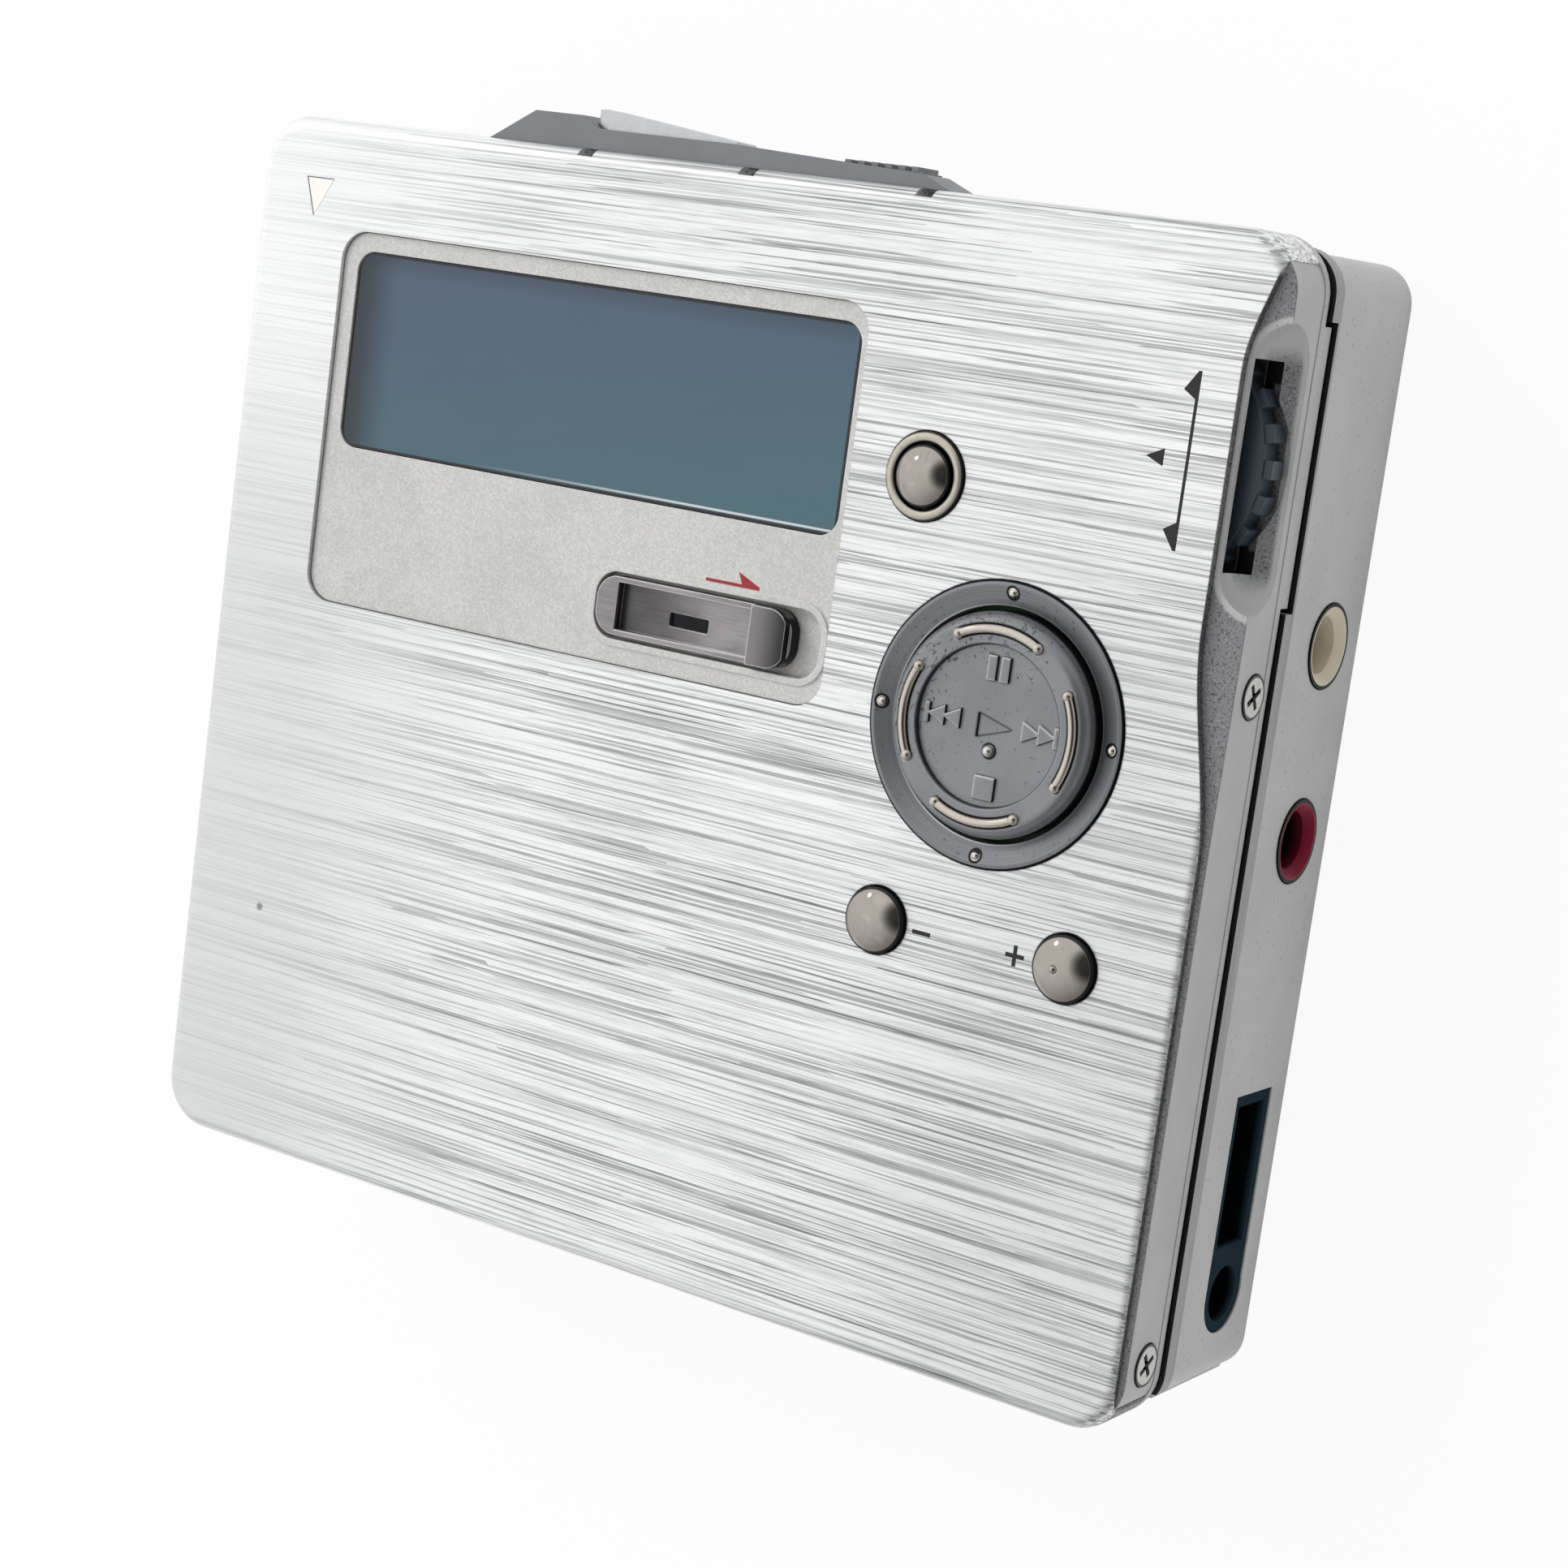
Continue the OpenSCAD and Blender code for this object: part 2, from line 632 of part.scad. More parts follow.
module battery_contacts() color("gold") {
    x1 = battery_x0 + battery_l;
    y = battery_y0 + battery_w / 2;
    difference() {
        box([x1, y - 3.4, floor_t], [x1 + 1.6, y + 3.4, floor_t + battery_t - 0.4]);
        box([x1 + 0.35, y - 4, floor_t + 0.35], [x1 + 1.25, y + 4, floor_t + battery_t]);
    }
    box([battery_x0 - 1.2, battery_y0 + battery_w - 2.4, floor_t],
        [battery_x0, battery_y0 + battery_w - 2, floor_t + battery_t - 0.6]);
}

module battery_door() color("silver") {
    difference() {
        union() {
            post(wall / 2, door_z0, door_z1, door_axis_x, door_axis_y);
            box([-half_w, door_axis_y, door_z0], [-in_w, door_y1, door_z1]);
            post(door_pin_r, door_z0 - 0.4, door_z1 + 0.4, door_axis_x, door_axis_y);
        }
        for (i = [0:2]) box([-half_w - over, door_y1 - 2.2 - 0.9 * i, door_z0 + 1.4],
            [-half_w + 0.25, door_y1 - 1.8 - 0.9 * i, door_z1 - 1.4]);
    }
}

// Jack block behind the wall with a coloured collar through it
module mini_jack(y) {
    difference() {
        union() {
            box([in_w - jack_depth, y - jack_half, jack_bot], [in_w, y + jack_half, jack_top]);
            rod(jack_collar_r, in_w - fit, half_w + 0.1, y, jack_z);
        }
        rod(jack_bore_r, in_w - jack_depth + 0.6, half_w + over, y, jack_z);
        translate([half_w + 0.12, y, jack_z]) rotate([0, -90, 0]) cylinder(r1 = jack_bore_r + 0.55, r2 = jack_bore_r, h = 0.55);
    }
}

module line_in_jack() color("wheat") mini_jack(line_y);
module mic_jack() color("maroon") mini_jack(mic_y);

// Outline of the remote socket on the right wall: a slot with a round jack at its end
module remote_plan(grow) {
    translate([remote_y, remote_slot_z0 - grow])
        square([remote_end_y - remote_y - 0.4 + grow, remote_slot_z1 - remote_slot_z0 + 2 * grow]);
    translate([remote_y, remote_z]) circle(remote_end_r + grow);
}

module remote_jack() color([0.14, 0.16, 0.18]) {
    difference() {
        union() {
            translate([in_w - fit, 0, 0]) rotate([90, 0, 90]) linear_extrude(wall - 0.05) remote_plan(0);
            box([in_w - jack_depth, remote_y - 2.9, jack_bot], [in_w, remote_end_y, jack_top]);
        }
        rod(jack_bore_r, in_w - jack_depth + 0.6, half_w + over, remote_y, remote_z);
        box([in_w - 5, remote_y + 3.2, remote_slot_z0 + 0.6],
            [half_w + over, remote_end_y - 1.1, remote_slot_z1 - 0.6]);
    }
    box([in_w - 5 - fit, remote_y + 4.4, jack_z - 0.45], [in_w - 0.4, remote_y + remote_slot_l - 0.4, jack_z + 0.45]);
}

module dc_jack() color("goldenrod") {
    difference() {
        union() {
            box([-in_w, dc_y - jack_half, jack_bot], [-in_w + dc_l, dc_y + jack_half, jack_top]);
            rod(dc_r, -half_w + 0.05, -in_w + fit, dc_y, jack_z);
        }
        rod(1.65, -half_w - over, -in_w + dc_l - 1, dc_y, jack_z);
    }
    rod(0.5, -in_w + 1, -in_w + dc_l - 1 + fit, dc_y, jack_z);
}

// Disc holder and the recording head above it

module disc_holder() color("gainsboro") {
    difference() {
        union() {
            box([-holder_out_w, holder_back - holder_t, holder_ceiling], [holder_out_w, holder_front, holder_top]);
            box([-holder_out_w, holder_back - holder_t, holder_floor - holder_t], [holder_out_w, holder_back, holder_top]);
            for (s = [-1, 1]) holder_side(s);
        }
        box([-holder_in_w + 3.5, holder_back - over, holder_floor - over], [holder_in_w - 3.5, holder_back + over, holder_ceiling - 1.2]);
        box([-inner_track_r - sled_travel - 3, -shutter_slot_w / 2, holder_ceiling - over],
            [-inner_track_r + 3, shutter_slot_w / 2, holder_top + over]);
        for (p = [[18, -14, 9], [18, 16, 7], [-20, 20, 6], [-20, -20, 6]])
            post(p[2], holder_ceiling - over, holder_top + over, p[0], p[1]);
        rod(hinge_pin_r + fit, -half_w, half_w, hinge_y, hinge_z);
    }
}

// One side wall of the holder with its bottom rail and hinge eye
module holder_side(s) {
    x0 = s > 0 ? holder_in_w : -holder_out_w;
    box([x0, holder_back - holder_t, holder_floor - holder_t], [x0 + holder_t, holder_front, holder_top]);
    rail_x = s > 0 ? holder_out_w - holder_rail_w : -holder_out_w;
    box([rail_x, holder_back - holder_t, holder_floor - holder_t], [rail_x + holder_rail_w, holder_front, holder_floor]);
    rod(hinge_ear_r, x0, x0 + holder_t, hinge_y, hinge_z);
}

module overwrite_head() color("peru") {
    x = -inner_track_r;
    box([x - 2.2, -7, holder_top + slide_gap], [x + 2.2, 7, holder_top + slide_gap + 0.3]);
    box([x - 1.4, -1.8, holder_ceiling + 0.1], [x + 1.4, 1.8, holder_top + slide_gap + fit]);
}

// Lid

module lid_frame() color("lightgray") {
    difference() {
        union() {
            translate([0, 0, parting_z]) linear_extrude(deck_top - parting_z) frame_plan();
            difference() {
                block(lid_w, lid_d, lid_corner_r, parting_z, parting_z + frame_lip);
                translate([0, 0, parting_z - over]) linear_extrude(frame_lip + 2 * over) frame_hollow();
            }
        }
        difference() {
            translate([0, 0, parting_z - over]) linear_extrude(deck_bot - parting_z + over) frame_hollow();
            box([in_w - jog_pad_t, jog_y - jog_pad_half, parting_z - over], [half_w, jog_y + jog_pad_half, deck_top]);
        }
        shoulder_cut();
        jog_dish();
        intersection() {
            jog_slot();
            box([jog_x, jog_y - jog_slot_half, 0], [half_w, jog_y + jog_slot_half, face_z]);
        }
        block(bezel_w + 2 * fit, bezel_d + 2 * fit, bezel_corner_r, deck_bot - over, deck_top + over, bezel_x, bezel_y);
        post(key_r + ring_gap + fit, deck_bot - over, deck_top + over, dial_x, dial_y);
        post(group_r + fit, deck_bot - over, deck_top + over, group_x, group_y);
        for (x = [vol_down_x, vol_up_x]) post(vol_r + fit, deck_bot - over, deck_top + over, x, vol_y);
        side_screw_places() {
            rod(1.4, -0.55, over, 0, 0);
            rod(0.55, -3, over, 0, 0);
        }
        open_window();
        for (s = [-1, 1]) hinge_relief(s);
    }
    box([in_w, tongue_y0, tongue_z], [half_w, tongue_y1, parting_z + fit]);
    frame_posts();
    hinge_ears();
    jog_bracket();
}

// Posts under the deck that carry the control board
module frame_posts() {
    for (p = [[-in_w + 3.2, -half_d + 7], [5, -half_d + 7], [in_w - 3.2, -half_d + 16], [-in_w + 3.2, half_d - 5], [0, half_d - 4.5]])
        post(1.2, lid_board_top, deck_bot + fit, p[0], p[1]);
}

// Round clearance in the frame for the lug and the holder's eye on one side
module hinge_relief(s) {
    x0 = s > 0 ? holder_in_w - hinge_gap : -in_w;
    rod(hinge_ear_r + 2 * hinge_gap, x0, x0 + in_w - holder_in_w + hinge_gap, hinge_y, hinge_z);
}

// Ears of the lid frame that turn on the hinge pins
module hinge_ears() {
    for (s = [-1, 1]) difference() {
        x0 = s > 0 ? ear_in : -ear_in - ear_t;
        union() {
            rod(hinge_ear_r, x0, x0 + ear_t, hinge_y, hinge_z);
            box([x0, hinge_y - 0.5, hinge_z], [x0 + ear_t, hinge_y + hinge_ear_r, deck_bot + fit]);
        }
        rod(hinge_pin_r + fit, -half_w, half_w, hinge_y, hinge_z);
    }
}

// Spindle-shaped scoop round the jog wheel in the right side of the frame
module jog_dish() translate([half_w + 0.4, jog_y, deck_top - 0.65]) {
    rotate([90, 0, 0]) cylinder(r = dish_r, h = 2 * dish_half, center = true);
    for (s = [-1, 1]) translate([0, s * dish_half, 0]) sphere(dish_r);
}

// Slot in the dish for the wheel, square at its ends
module jog_slot() {
    z0 = jog_z0 - jog_slot_gap;
    z1 = deck_top - 0.5;
    box([jog_x, jog_y - jog_slot_half, z0], [half_w - 1.3, jog_y + jog_slot_half, z1]);
    post(jog_r + jog_slot_gap, z0, z1, jog_x, jog_y);
}

// Guide blocks under the deck on both sides of the jog carrier
module jog_bracket() {
    for (y = [slider_y0 - 0.1 - 0.9, slider_y1 + 0.1])
        box([jog_x - 13.2, y, lid_board_bot], [jog_x - 10.3, y + 0.9, deck_bot + fit]);
}

// Opening in the latch wall for the slider's stem
module open_window() {
    box([open_x0 + 1 - open_travel - 0.2, half_d - 3, parting_z + 1.4], [open_x0 + open_l - 0.8, half_d + over, hump_z1 - 0.7]);
    box([open_x0 + 1 - open_travel, half_d - plate_t, parting_z - over], [open_x0 + 2.8, half_d + over, parting_z + 1.5]);
}

module front_plate() color("whitesmoke") {
    difference() {
        union() {
            rim(lid_w, lid_d, lid_corner_r)
                bent_sheet(lid_corner_r, parting_z + frame_lip, face_z, plate_edge_r, plate_t);
            box([-half_w + lid_corner_r, -half_d + lid_corner_r, deck_top], [half_w - lid_corner_r, half_d - lid_corner_r, face_z]);
        }
        translate([0, 0, parting_z]) linear_extrude(face_z - parting_z + over) beyond_plate_edge();
        translate([0, 0, parting_z]) linear_extrude(deck_top - parting_z) frame_plan();
        block(bezel_w + 2 * fit, bezel_d + 2 * fit, bezel_corner_r, deck_top - over, face_z + over, bezel_x, bezel_y);
        post(dial_ring_r + fit, deck_top - over, face_z + over, dial_x, dial_y);
        post(group_collar_r + fit, deck_top - over, face_z + over, group_x, group_y);
        for (x = [vol_down_x, vol_up_x]) post(vol_r + 0.15, deck_top - over, face_z + over, x, vol_y);
        translate([0, 0, deck_top - over]) linear_extrude(plate_t + 2 * over) indicator_plan(0.05);
        for (x = [-11.7, 1, 14.1]) box([x - 0.6, half_d - 0.5, hump_z1 - over], [x + 0.6, half_d + over, face_z + over]);
        for (s = [-1, 1]) hinge_relief(s);
        open_window();
    }
}

// Half-barbed triangle of the indicator window
module indicator_plan(grow) {
    translate([-half_w + 4.3, half_d - 4.1]) polygon([[-grow, grow], [2.3 + 2 * grow, grow], [0.85, -2.45 - 2 * grow]]);
}

module indicator_lens() color("ivory") translate([0, 0, deck_top]) linear_extrude(plate_t - 0.05) indicator_plan(0);

module display_bezel() color("antiquewhite") {
    difference() {
        union() {
            block(bezel_w, bezel_d, bezel_corner_r, bezel_bot, bezel_top, bezel_x, bezel_y);
            block(bezel_w + 1.4, bezel_d + 1.4, bezel_corner_r, bezel_bot, deck_bot, bezel_x, bezel_y);
            block(rec_pocket_l + 2 * rec_rim, rec_pocket_w + 2 * rec_rim, rec_corner_r + rec_rim, bezel_bot, bezel_top + 0.12,
                rec_x0 + rec_pocket_l / 2, rec_y);
        }
        block(window_w, window_d, window_corner_r, window_seat, bezel_top + over, window_x, window_y);
        block(window_w - 1.6, window_d - 1.6, window_corner_r, bezel_bot - over, bezel_top + over, window_x, window_y);
        block(rec_pocket_l, rec_pocket_w, rec_corner_r, rec_floor, bezel_top + over, rec_x0 + rec_pocket_l / 2, rec_y);
        box([rec_x0 + 4, rec_y - 0.7, bezel_bot - over], [rec_x0 + 8.3 + rec_travel, rec_y + 0.7, bezel_top]);
    }
}

module display_window() color("slategray", 0.6) {
    block(window_w - 2 * fit, window_d - 2 * fit, window_corner_r, window_seat, bezel_top - 0.15, window_x, window_y);
}

module lcd_module() color("cadetblue") {
    block(window_w - 1.2, window_d - 1.2, 0.3, lid_board_top, bezel_bot, window_x, window_y);
}

module control_board() color("darkgreen") {
    difference() {
        box([-in_w + 1.4, -half_d + 4.4, lid_board_bot], [in_w - jog_pad_t - 0.2, half_d - 3.2, lid_board_top]);
        post(jog_r + jog_travel + 0.4, lid_board_bot - over, lid_board_top + over, jog_x, jog_y);
        box([jog_x - 14, jog_y + 0.2, lid_board_bot - over], [in_w, half_d, lid_board_top + over]);
        box([open_x0 - 5, half_d - 6, lid_board_bot - over], [open_x0 + 9, half_d, lid_board_top + over]);
        side_screw_places() rod(1.2, -4, over, 0, 0);
    }
}

module tact_switches() color("gold") {
    for (p = [[group_x, group_y], [vol_down_x, vol_y], [vol_up_x, vol_y], [dial_x, dial_y]])
        post(1.6, lid_board_top, switch_top, p[0], p[1]);
    for (a = [0:90:270]) translate([dial_x, dial_y]) rotate(a) post(1.1, lid_board_top, switch_top - 0.1, rocker_switch_r, 0);
    box([rec_x0 + 3.6, rec_y - 2.6, lid_board_top], [rec_x0 + 11, rec_y - 1.2, lid_board_top + 0.7]);
}

// Places of the cross-head screws in the right side, on the outer face
module side_screw_places() {
    for (p = [[jog_y - 13.2, parting_z + 1.85], [-half_d + 4.4, parting_z + 2.1]]) translate([half_w, p[0], p[1]]) children();
}

module side_screws() color("silver") {
    side_screw_places() difference() {
        union() {
            rod(1.35, -0.55, 0.05, 0, 0);
            rod(0.5, -2.6, -0.55 + fit, 0, 0);
        }
        for (a = [30, 120]) rotate([a, 0, 0]) translate([-0.3, -0.85, -0.18]) cube([1, 1.7, 0.36]);
    }
}

module dial_ring() color("dimgray") {
    translate([dial_x, dial_y, 0]) {
        rotate_extrude() polygon([[key_r + ring_gap, deck_top], [dial_ring_r, deck_top], [dial_ring_r, face_z + 0.12],
            [dial_ring_r - 0.3, face_z + 0.2], [key_r + ring_gap, face_z - 0.25]]);
        for (a = [0:90:270]) rotate(a) translate([(key_r + dial_ring_r) / 2 + 0.2, 0, face_z - 0.05]) sphere(0.32, $fn = 24);
    }
}

module group_collar() color("cornsilk") {
    translate([group_x, group_y, 0]) rotate_extrude() {
        translate([group_r + 0.1, deck_top]) square([group_collar_r - group_r - 0.1, plate_t]);
        translate([(group_collar_r + group_r + 0.1) / 2, face_z]) circle((group_collar_r - group_r - 0.1) / 2 - 0.02);
    }
}

// Housing of the latch slider and the bar button along the latch edge
module top_housing() color("gray") {
    y0 = half_d;
    difference() {
        translate([0, 0, hump_z0]) linear_extrude(hump_z1 - hump_z0) housing_plan(y0);
        translate([0, 0, hump_z0 + 0.4]) linear_extrude(hump_z1 - hump_z0 - 0.8)
            for (dy = [0, mark_travel]) mark_plan(y0 + dy, 0.12);
        box([open_x0 - open_travel - 0.3, y0 + 0.35, hump_z0 + 0.35], [open_x0 + open_l + 0.3, y0 + hump_rise + over, hump_z1 - 0.35]);
        box([open_x0 + 1 - open_travel - 0.2, y0 - over, hump_z0 - over], [open_x0 + open_l - 0.8, y0 + 0.6, hump_z1 - 0.7]);
    }
}

// Silhouette of the housing over the lid's edge: a ramp, a crest, a low rail and a tail
module housing_plan(y0) {
    crest = y0 + hump_rise;
    rail = y0 + 1.25;
    difference() {
        polygon([[hump_x0, y0], [hump_x0 + 3.6, crest], [mark_x0 - 0.8, crest], [mark_x0 + 0.4, rail + 0.1],
            [mark_x0 + mark_l, rail + 0.1], [open_x0 + open_l + 0.3, rail - 0.4], [hump_x1, y0]]);
        translate([hump_x0 - 0.35, crest + 1.35]) circle(2);
    }
}

// Wedge of the bar button, high at the crest and low at the rail
module mark_plan(y0, grow) {
    polygon([[mark_x0 - grow, y0 + 0.3 - grow], [mark_x0 - grow, y0 + 2.2 + grow], [mark_x0 + 0.5, y0 + 2.25 + grow],
        [mark_x0 + mark_l + grow, y0 + 1.1 + grow], [mark_x0 + mark_l + grow, y0 + 0.3 - grow]]);
}

module mark_button() color("white") {
    translate([0, 0, hump_z0 + 0.5]) linear_extrude(hump_z1 - hump_z0 - 1) mark_plan(half_d + mark_travel, 0);
}

module open_slider() color("dimgray") {
    y0 = half_d + 0.4;
    zc0 = hump_z0 + 0.4;
    zc1 = hump_z1 - 0.4;
    box([open_x0, y0, zc0], [open_x0 + open_l, y0 + 0.55, zc1]);
    for (i = [0:5]) box([open_x0 + 0.3 + 0.98 * i, y0 + 0.5, zc0], [open_x0 + 0.8 + 0.98 * i, y0 + 0.85, zc1]);
    box([open_x0 + 1.2, half_d - 0.5, hump_z0 + 0.6], [open_x0 + open_l - 1.4, y0 + 0.1, hump_z1 - 0.9]);
    box([open_x0 + 1.2, half_d - 0.5, belt_bot - 1.8], [open_x0 + 2.6, half_d + 0.1, hump_z0 + 0.7]);
}

// Controls of the lid

module rec_slider() color("rosybrown") {
    z0 = rec_floor + fit;
    x0 = rec_x0 + slide_gap;
    difference() {
        intersection() {
            translate([0, rec_y + rec_w / 2, 0]) rotate([90, 0, 0]) linear_extrude(rec_w) {
                translate([x0, z0]) square([rec_l, bezel_top + 0.1 - z0]);
                translate([x0 + rec_l - nub_l, z0]) square([nub_l - 0.2, face_z + 0.35 - z0]);
            }
            block(rec_l, rec_w, rec_corner_r - slide_gap, z0 - over, face_z + over, x0 + rec_l / 2, rec_y);
        }
        translate([0, rec_y + rec_w / 2 - 0.35, 0]) rotate([90, 0, 0]) linear_extrude(rec_w - 0.7) polygon([
            [x0 + 1.6, bezel_top - 0.55], [x0 + rec_l - nub_l, bezel_top - 0.02],
            [x0 + rec_l - nub_l, bezel_top + over], [x0 + 1.6, bezel_top + over]]);
        block(3.2, 0.9, 0.15, bezel_top - 0.6, bezel_top + over, rec_x0 + 7.3, rec_y - 0.2);
    }
    difference() {
        box([rec_x0 + 4.2, rec_y - 0.6, bezel_bot - 0.25], [rec_x0 + 8.1, rec_y + 0.6, z0 + fit]);
        box([rec_x0 + 5.5, rec_y - 0.25, bezel_bot - over], [rec_x0 + 7, rec_y + 0.25, bezel_bot]);
    }
}

// Domed button with a stem through the deck and a flange under it
module dome_button(r) {
    foot = switch_top + button_travel + fit;
    rise = dome_rise - 0.35;
    ball = (r * r + rise * rise) / (2 * rise);
    rotate_extrude() {
        translate([0, foot]) square([r, face_z + 0.35 - foot]);
        translate([0, foot]) square([r + 0.45, deck_bot - fit - foot]);
        intersection() {
            translate([0, face_z + dome_rise - ball]) circle(ball, $fn = 96);
            translate([0, face_z + 0.35 - fit]) square([r, dome_rise]);
        }
    }
}

module group_button() color("silver") translate([group_x, group_y]) dome_button(group_r);
module volume_down_button() color("silver") translate([vol_down_x, vol_y]) dome_button(vol_r);
module volume_up_button() color("silver") {
    translate([vol_up_x, vol_y]) dome_button(vol_r);
    translate([vol_up_x - 0.3, vol_y, face_z + dome_rise - 0.05]) sphere(0.28, $fn = 24);
}

module key_plunger() color("silver") translate([dial_x, dial_y]) {
    post(1.2, switch_top + key_travel + 0.1, deck_bot + 0.3);
}

module key_rocker() color("gray") translate([dial_x, dial_y]) difference() {
    post(3.4, key_pivot_z - 0.2, key_pivot_z + 0.15);
    post(1.45, key_pivot_z - over, key_pivot_z + over);
}

module control_key() color("gray") translate([dial_x, dial_y]) {
    under = deck_bot + 0.5;
    top = face_z + key_rise;
    difference() {
        rotate_extrude() difference() {
            polygon(concat([[0, under], [key_r, under]], key_shoulder(face_z - 0.1, top), [[0, top]]));
            translate([0, top - 0.35]) square([key_r - 1.95, 1]);
        }
        for (a = [0:90:270]) rotate(a) arc_groove(0.02);
        translate([0.4, 0, top - 0.35 - 0.15]) linear_extrude(over) play_sign();
    }
    for (a = [0:90:270]) rotate(a) post(0.7, switch_top + key_travel + 0.3, under + fit, rocker_switch_r, 0);
    raised_marks(top - 0.35 - fit, 0.2);
}

// Rounded shoulder of the key from its side to its rim
function key_shoulder(z0, z1) = [for (a = [0:15:90]) [key_r - 0.75 * (1 - cos(a)), z0 + (z1 - z0) * sin(a)]];

// Groove of one bright arc on the key's rim
module arc_groove(grow) {
    span = 56;
    r = key_r - 1.05;
    rotate(-span / 2) rotate_extrude(angle = span) translate([r, face_z + key_rise]) circle(0.28 + grow, $fn = 32);
    for (a = [-span / 2, span / 2]) rotate(a) translate([r, 0, face_z + key_rise]) sphere(0.36 + grow, $fn = 32);
}

module key_arcs() color("mistyrose") translate([dial_x, dial_y]) for (a = [0:90:270]) rotate(a) arc_groove(0);

// Sunk triangle in the middle of the key
module play_sign() polygon([[-1.2, 0.7], [-1.2, -0.8], [1.25, 0]]);

// Raised transport signs: pause, skip back, skip on and stop, with a touch dot
module raised_marks(z, h) {
    translate([0.2, 0, z]) linear_extrude(h + fit) {
        for (x = [-0.75, 0.15]) translate([x, 2.75]) square([0.6, 1.5]);
        translate([-0.6, -4.45]) square(1.4);
        for (s = [-1, 1]) translate([s * 3.45, 0.1]) scale([s, 1]) skip_sign();
    }
    translate([0.25, -1.5, z + h - 0.05]) sphere(0.38, $fn = 32);
}

module skip_sign() {
    polygon([[-1.3, 0.62], [-1.3, -0.62], [-0.05, 0]]);
    polygon([[-0.2, 0.62], [-0.2, -0.62], [1, 0]]);
    translate([0.9, -0.62]) square([0.3, 1.24]);
}

module jog_carrier() color("slategray") {
    difference() {
        union() {
            box([jog_x - 9.2, jog_y - 1, jog_z1 + 0.1], [jog_x + 1.6, slider_y1, jog_z1 + 0.35]);
            box([jog_x - 2.5, jog_y - 2.5, jog_z1 + 0.1], [jog_x + 1.6, jog_y, jog_z1 + 0.35]);
            box([jog_x - 12.8, slider_y0, jog_z0], [jog_x - 9, slider_y1, jog_z1 + 0.35]);
        }
        post(jog_pin_r, jog_z0 - over, jog_z1 + over, jog_x, jog_y);
    }
}

module jog_pin() color("silver") {
    post(jog_pin_r, jog_z0 - 0.1, jog_z1 + 0.35, jog_x, jog_y);
}

module jog_wheel() color("darkslategray") translate([jog_x, jog_y, jog_z0]) difference() {
    union() {
        cylinder(r = jog_r - jog_tooth_h, h = jog_t);
        for (i = [0:jog_teeth - 1]) rotate(i * 360 / jog_teeth)
            translate([jog_r - jog_tooth_h - 0.3, -0.55, 0.15]) cube([jog_tooth_h + 0.3, 1.1, jog_t - 0.3]);
    }
    translate([0, 0, -over]) cylinder(r = jog_pin_r + fit, h = jog_t + 2 * over);
}

bottom_case();
trim_belt();
case_screws();
hinge_pins();
main_board();
board_chips();
chassis();
spindle_motor();
turntable();
guide_shafts();
sled_motor();
lead_screw();
pickup_sled();
objective_lens();
battery();
battery_contacts();
battery_door();
line_in_jack();
mic_jack();
remote_jack();
dc_jack();
disc_holder();
overwrite_head();
lid_frame();
front_plate();
display_bezel();
display_window();
lcd_module();
control_board();
tact_switches();
indicator_lens();
side_screws();
dial_ring();
group_collar();
top_housing();
rec_slider();
group_button();
volume_down_button();
volume_up_button();
key_plunger();
key_rocker();
control_key();
key_arcs();
jog_carrier();
jog_pin();
jog_wheel();
open_slider();
mark_button();
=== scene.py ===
"""Portable disc recorder: finishes, printed signs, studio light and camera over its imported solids."""

import logging
import math
from dataclasses import dataclass
from enum import Enum
from typing import Any, Callable, Optional, Sequence, Union

import bpy
from mathutils import Matrix, Vector


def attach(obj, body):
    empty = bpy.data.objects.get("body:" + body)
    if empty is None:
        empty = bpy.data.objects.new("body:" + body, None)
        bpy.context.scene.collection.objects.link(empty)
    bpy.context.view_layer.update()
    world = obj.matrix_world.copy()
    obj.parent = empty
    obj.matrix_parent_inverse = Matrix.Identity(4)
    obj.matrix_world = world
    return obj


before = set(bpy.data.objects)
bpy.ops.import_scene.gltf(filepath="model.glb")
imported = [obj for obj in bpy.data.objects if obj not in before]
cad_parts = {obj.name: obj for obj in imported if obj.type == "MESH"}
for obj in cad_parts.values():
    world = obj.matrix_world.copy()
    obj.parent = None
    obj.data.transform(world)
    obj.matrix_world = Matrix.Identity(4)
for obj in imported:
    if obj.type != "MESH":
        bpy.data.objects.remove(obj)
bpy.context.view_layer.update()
LOG = logging.getLogger("recorder")
MM = 0.001
FACE_Z = 17.1

Span = tuple[float, float]
Spot = tuple[float, float]
Point = tuple[float, float, float]
Colour = tuple[float, float, float, float]
Row = Sequence[float]
Feed = Union["Value", float, Row, str]
Layer = tuple[Feed, Feed]


def tint(code: str) -> Colour:
    """Turns a colour as it is seen on a screen into the linear one that shaders use.

    Args:
        code: Six hexadecimal digits.

    Returns:
        Linear red, green and blue, and an alpha of 1.
    """
    parts = [int(code[i:i + 2], 16) / 255 for i in (0, 2, 4)]
    linear = [p / 12.92 if p <= 0.04045 else ((p + 0.055) / 1.055) ** 2.4 for p in parts]
    return (linear[0], linear[1], linear[2], 1.0)


def scaled(code: str, gain: float, lift: float = 0.0) -> Colour:
    """Gives a brighter or a deeper tone of a colour.

    Args:
        code: Six hexadecimal digits of the colour.
        gain: Factor on each of its parts.
        lift: What is then added to each part.

    Returns:
        The tone, with no part above 1.
    """
    red, green, blue = (min(1.0, part * gain + lift) for part in tint(code)[:3])
    return (red, green, blue, 1.0)


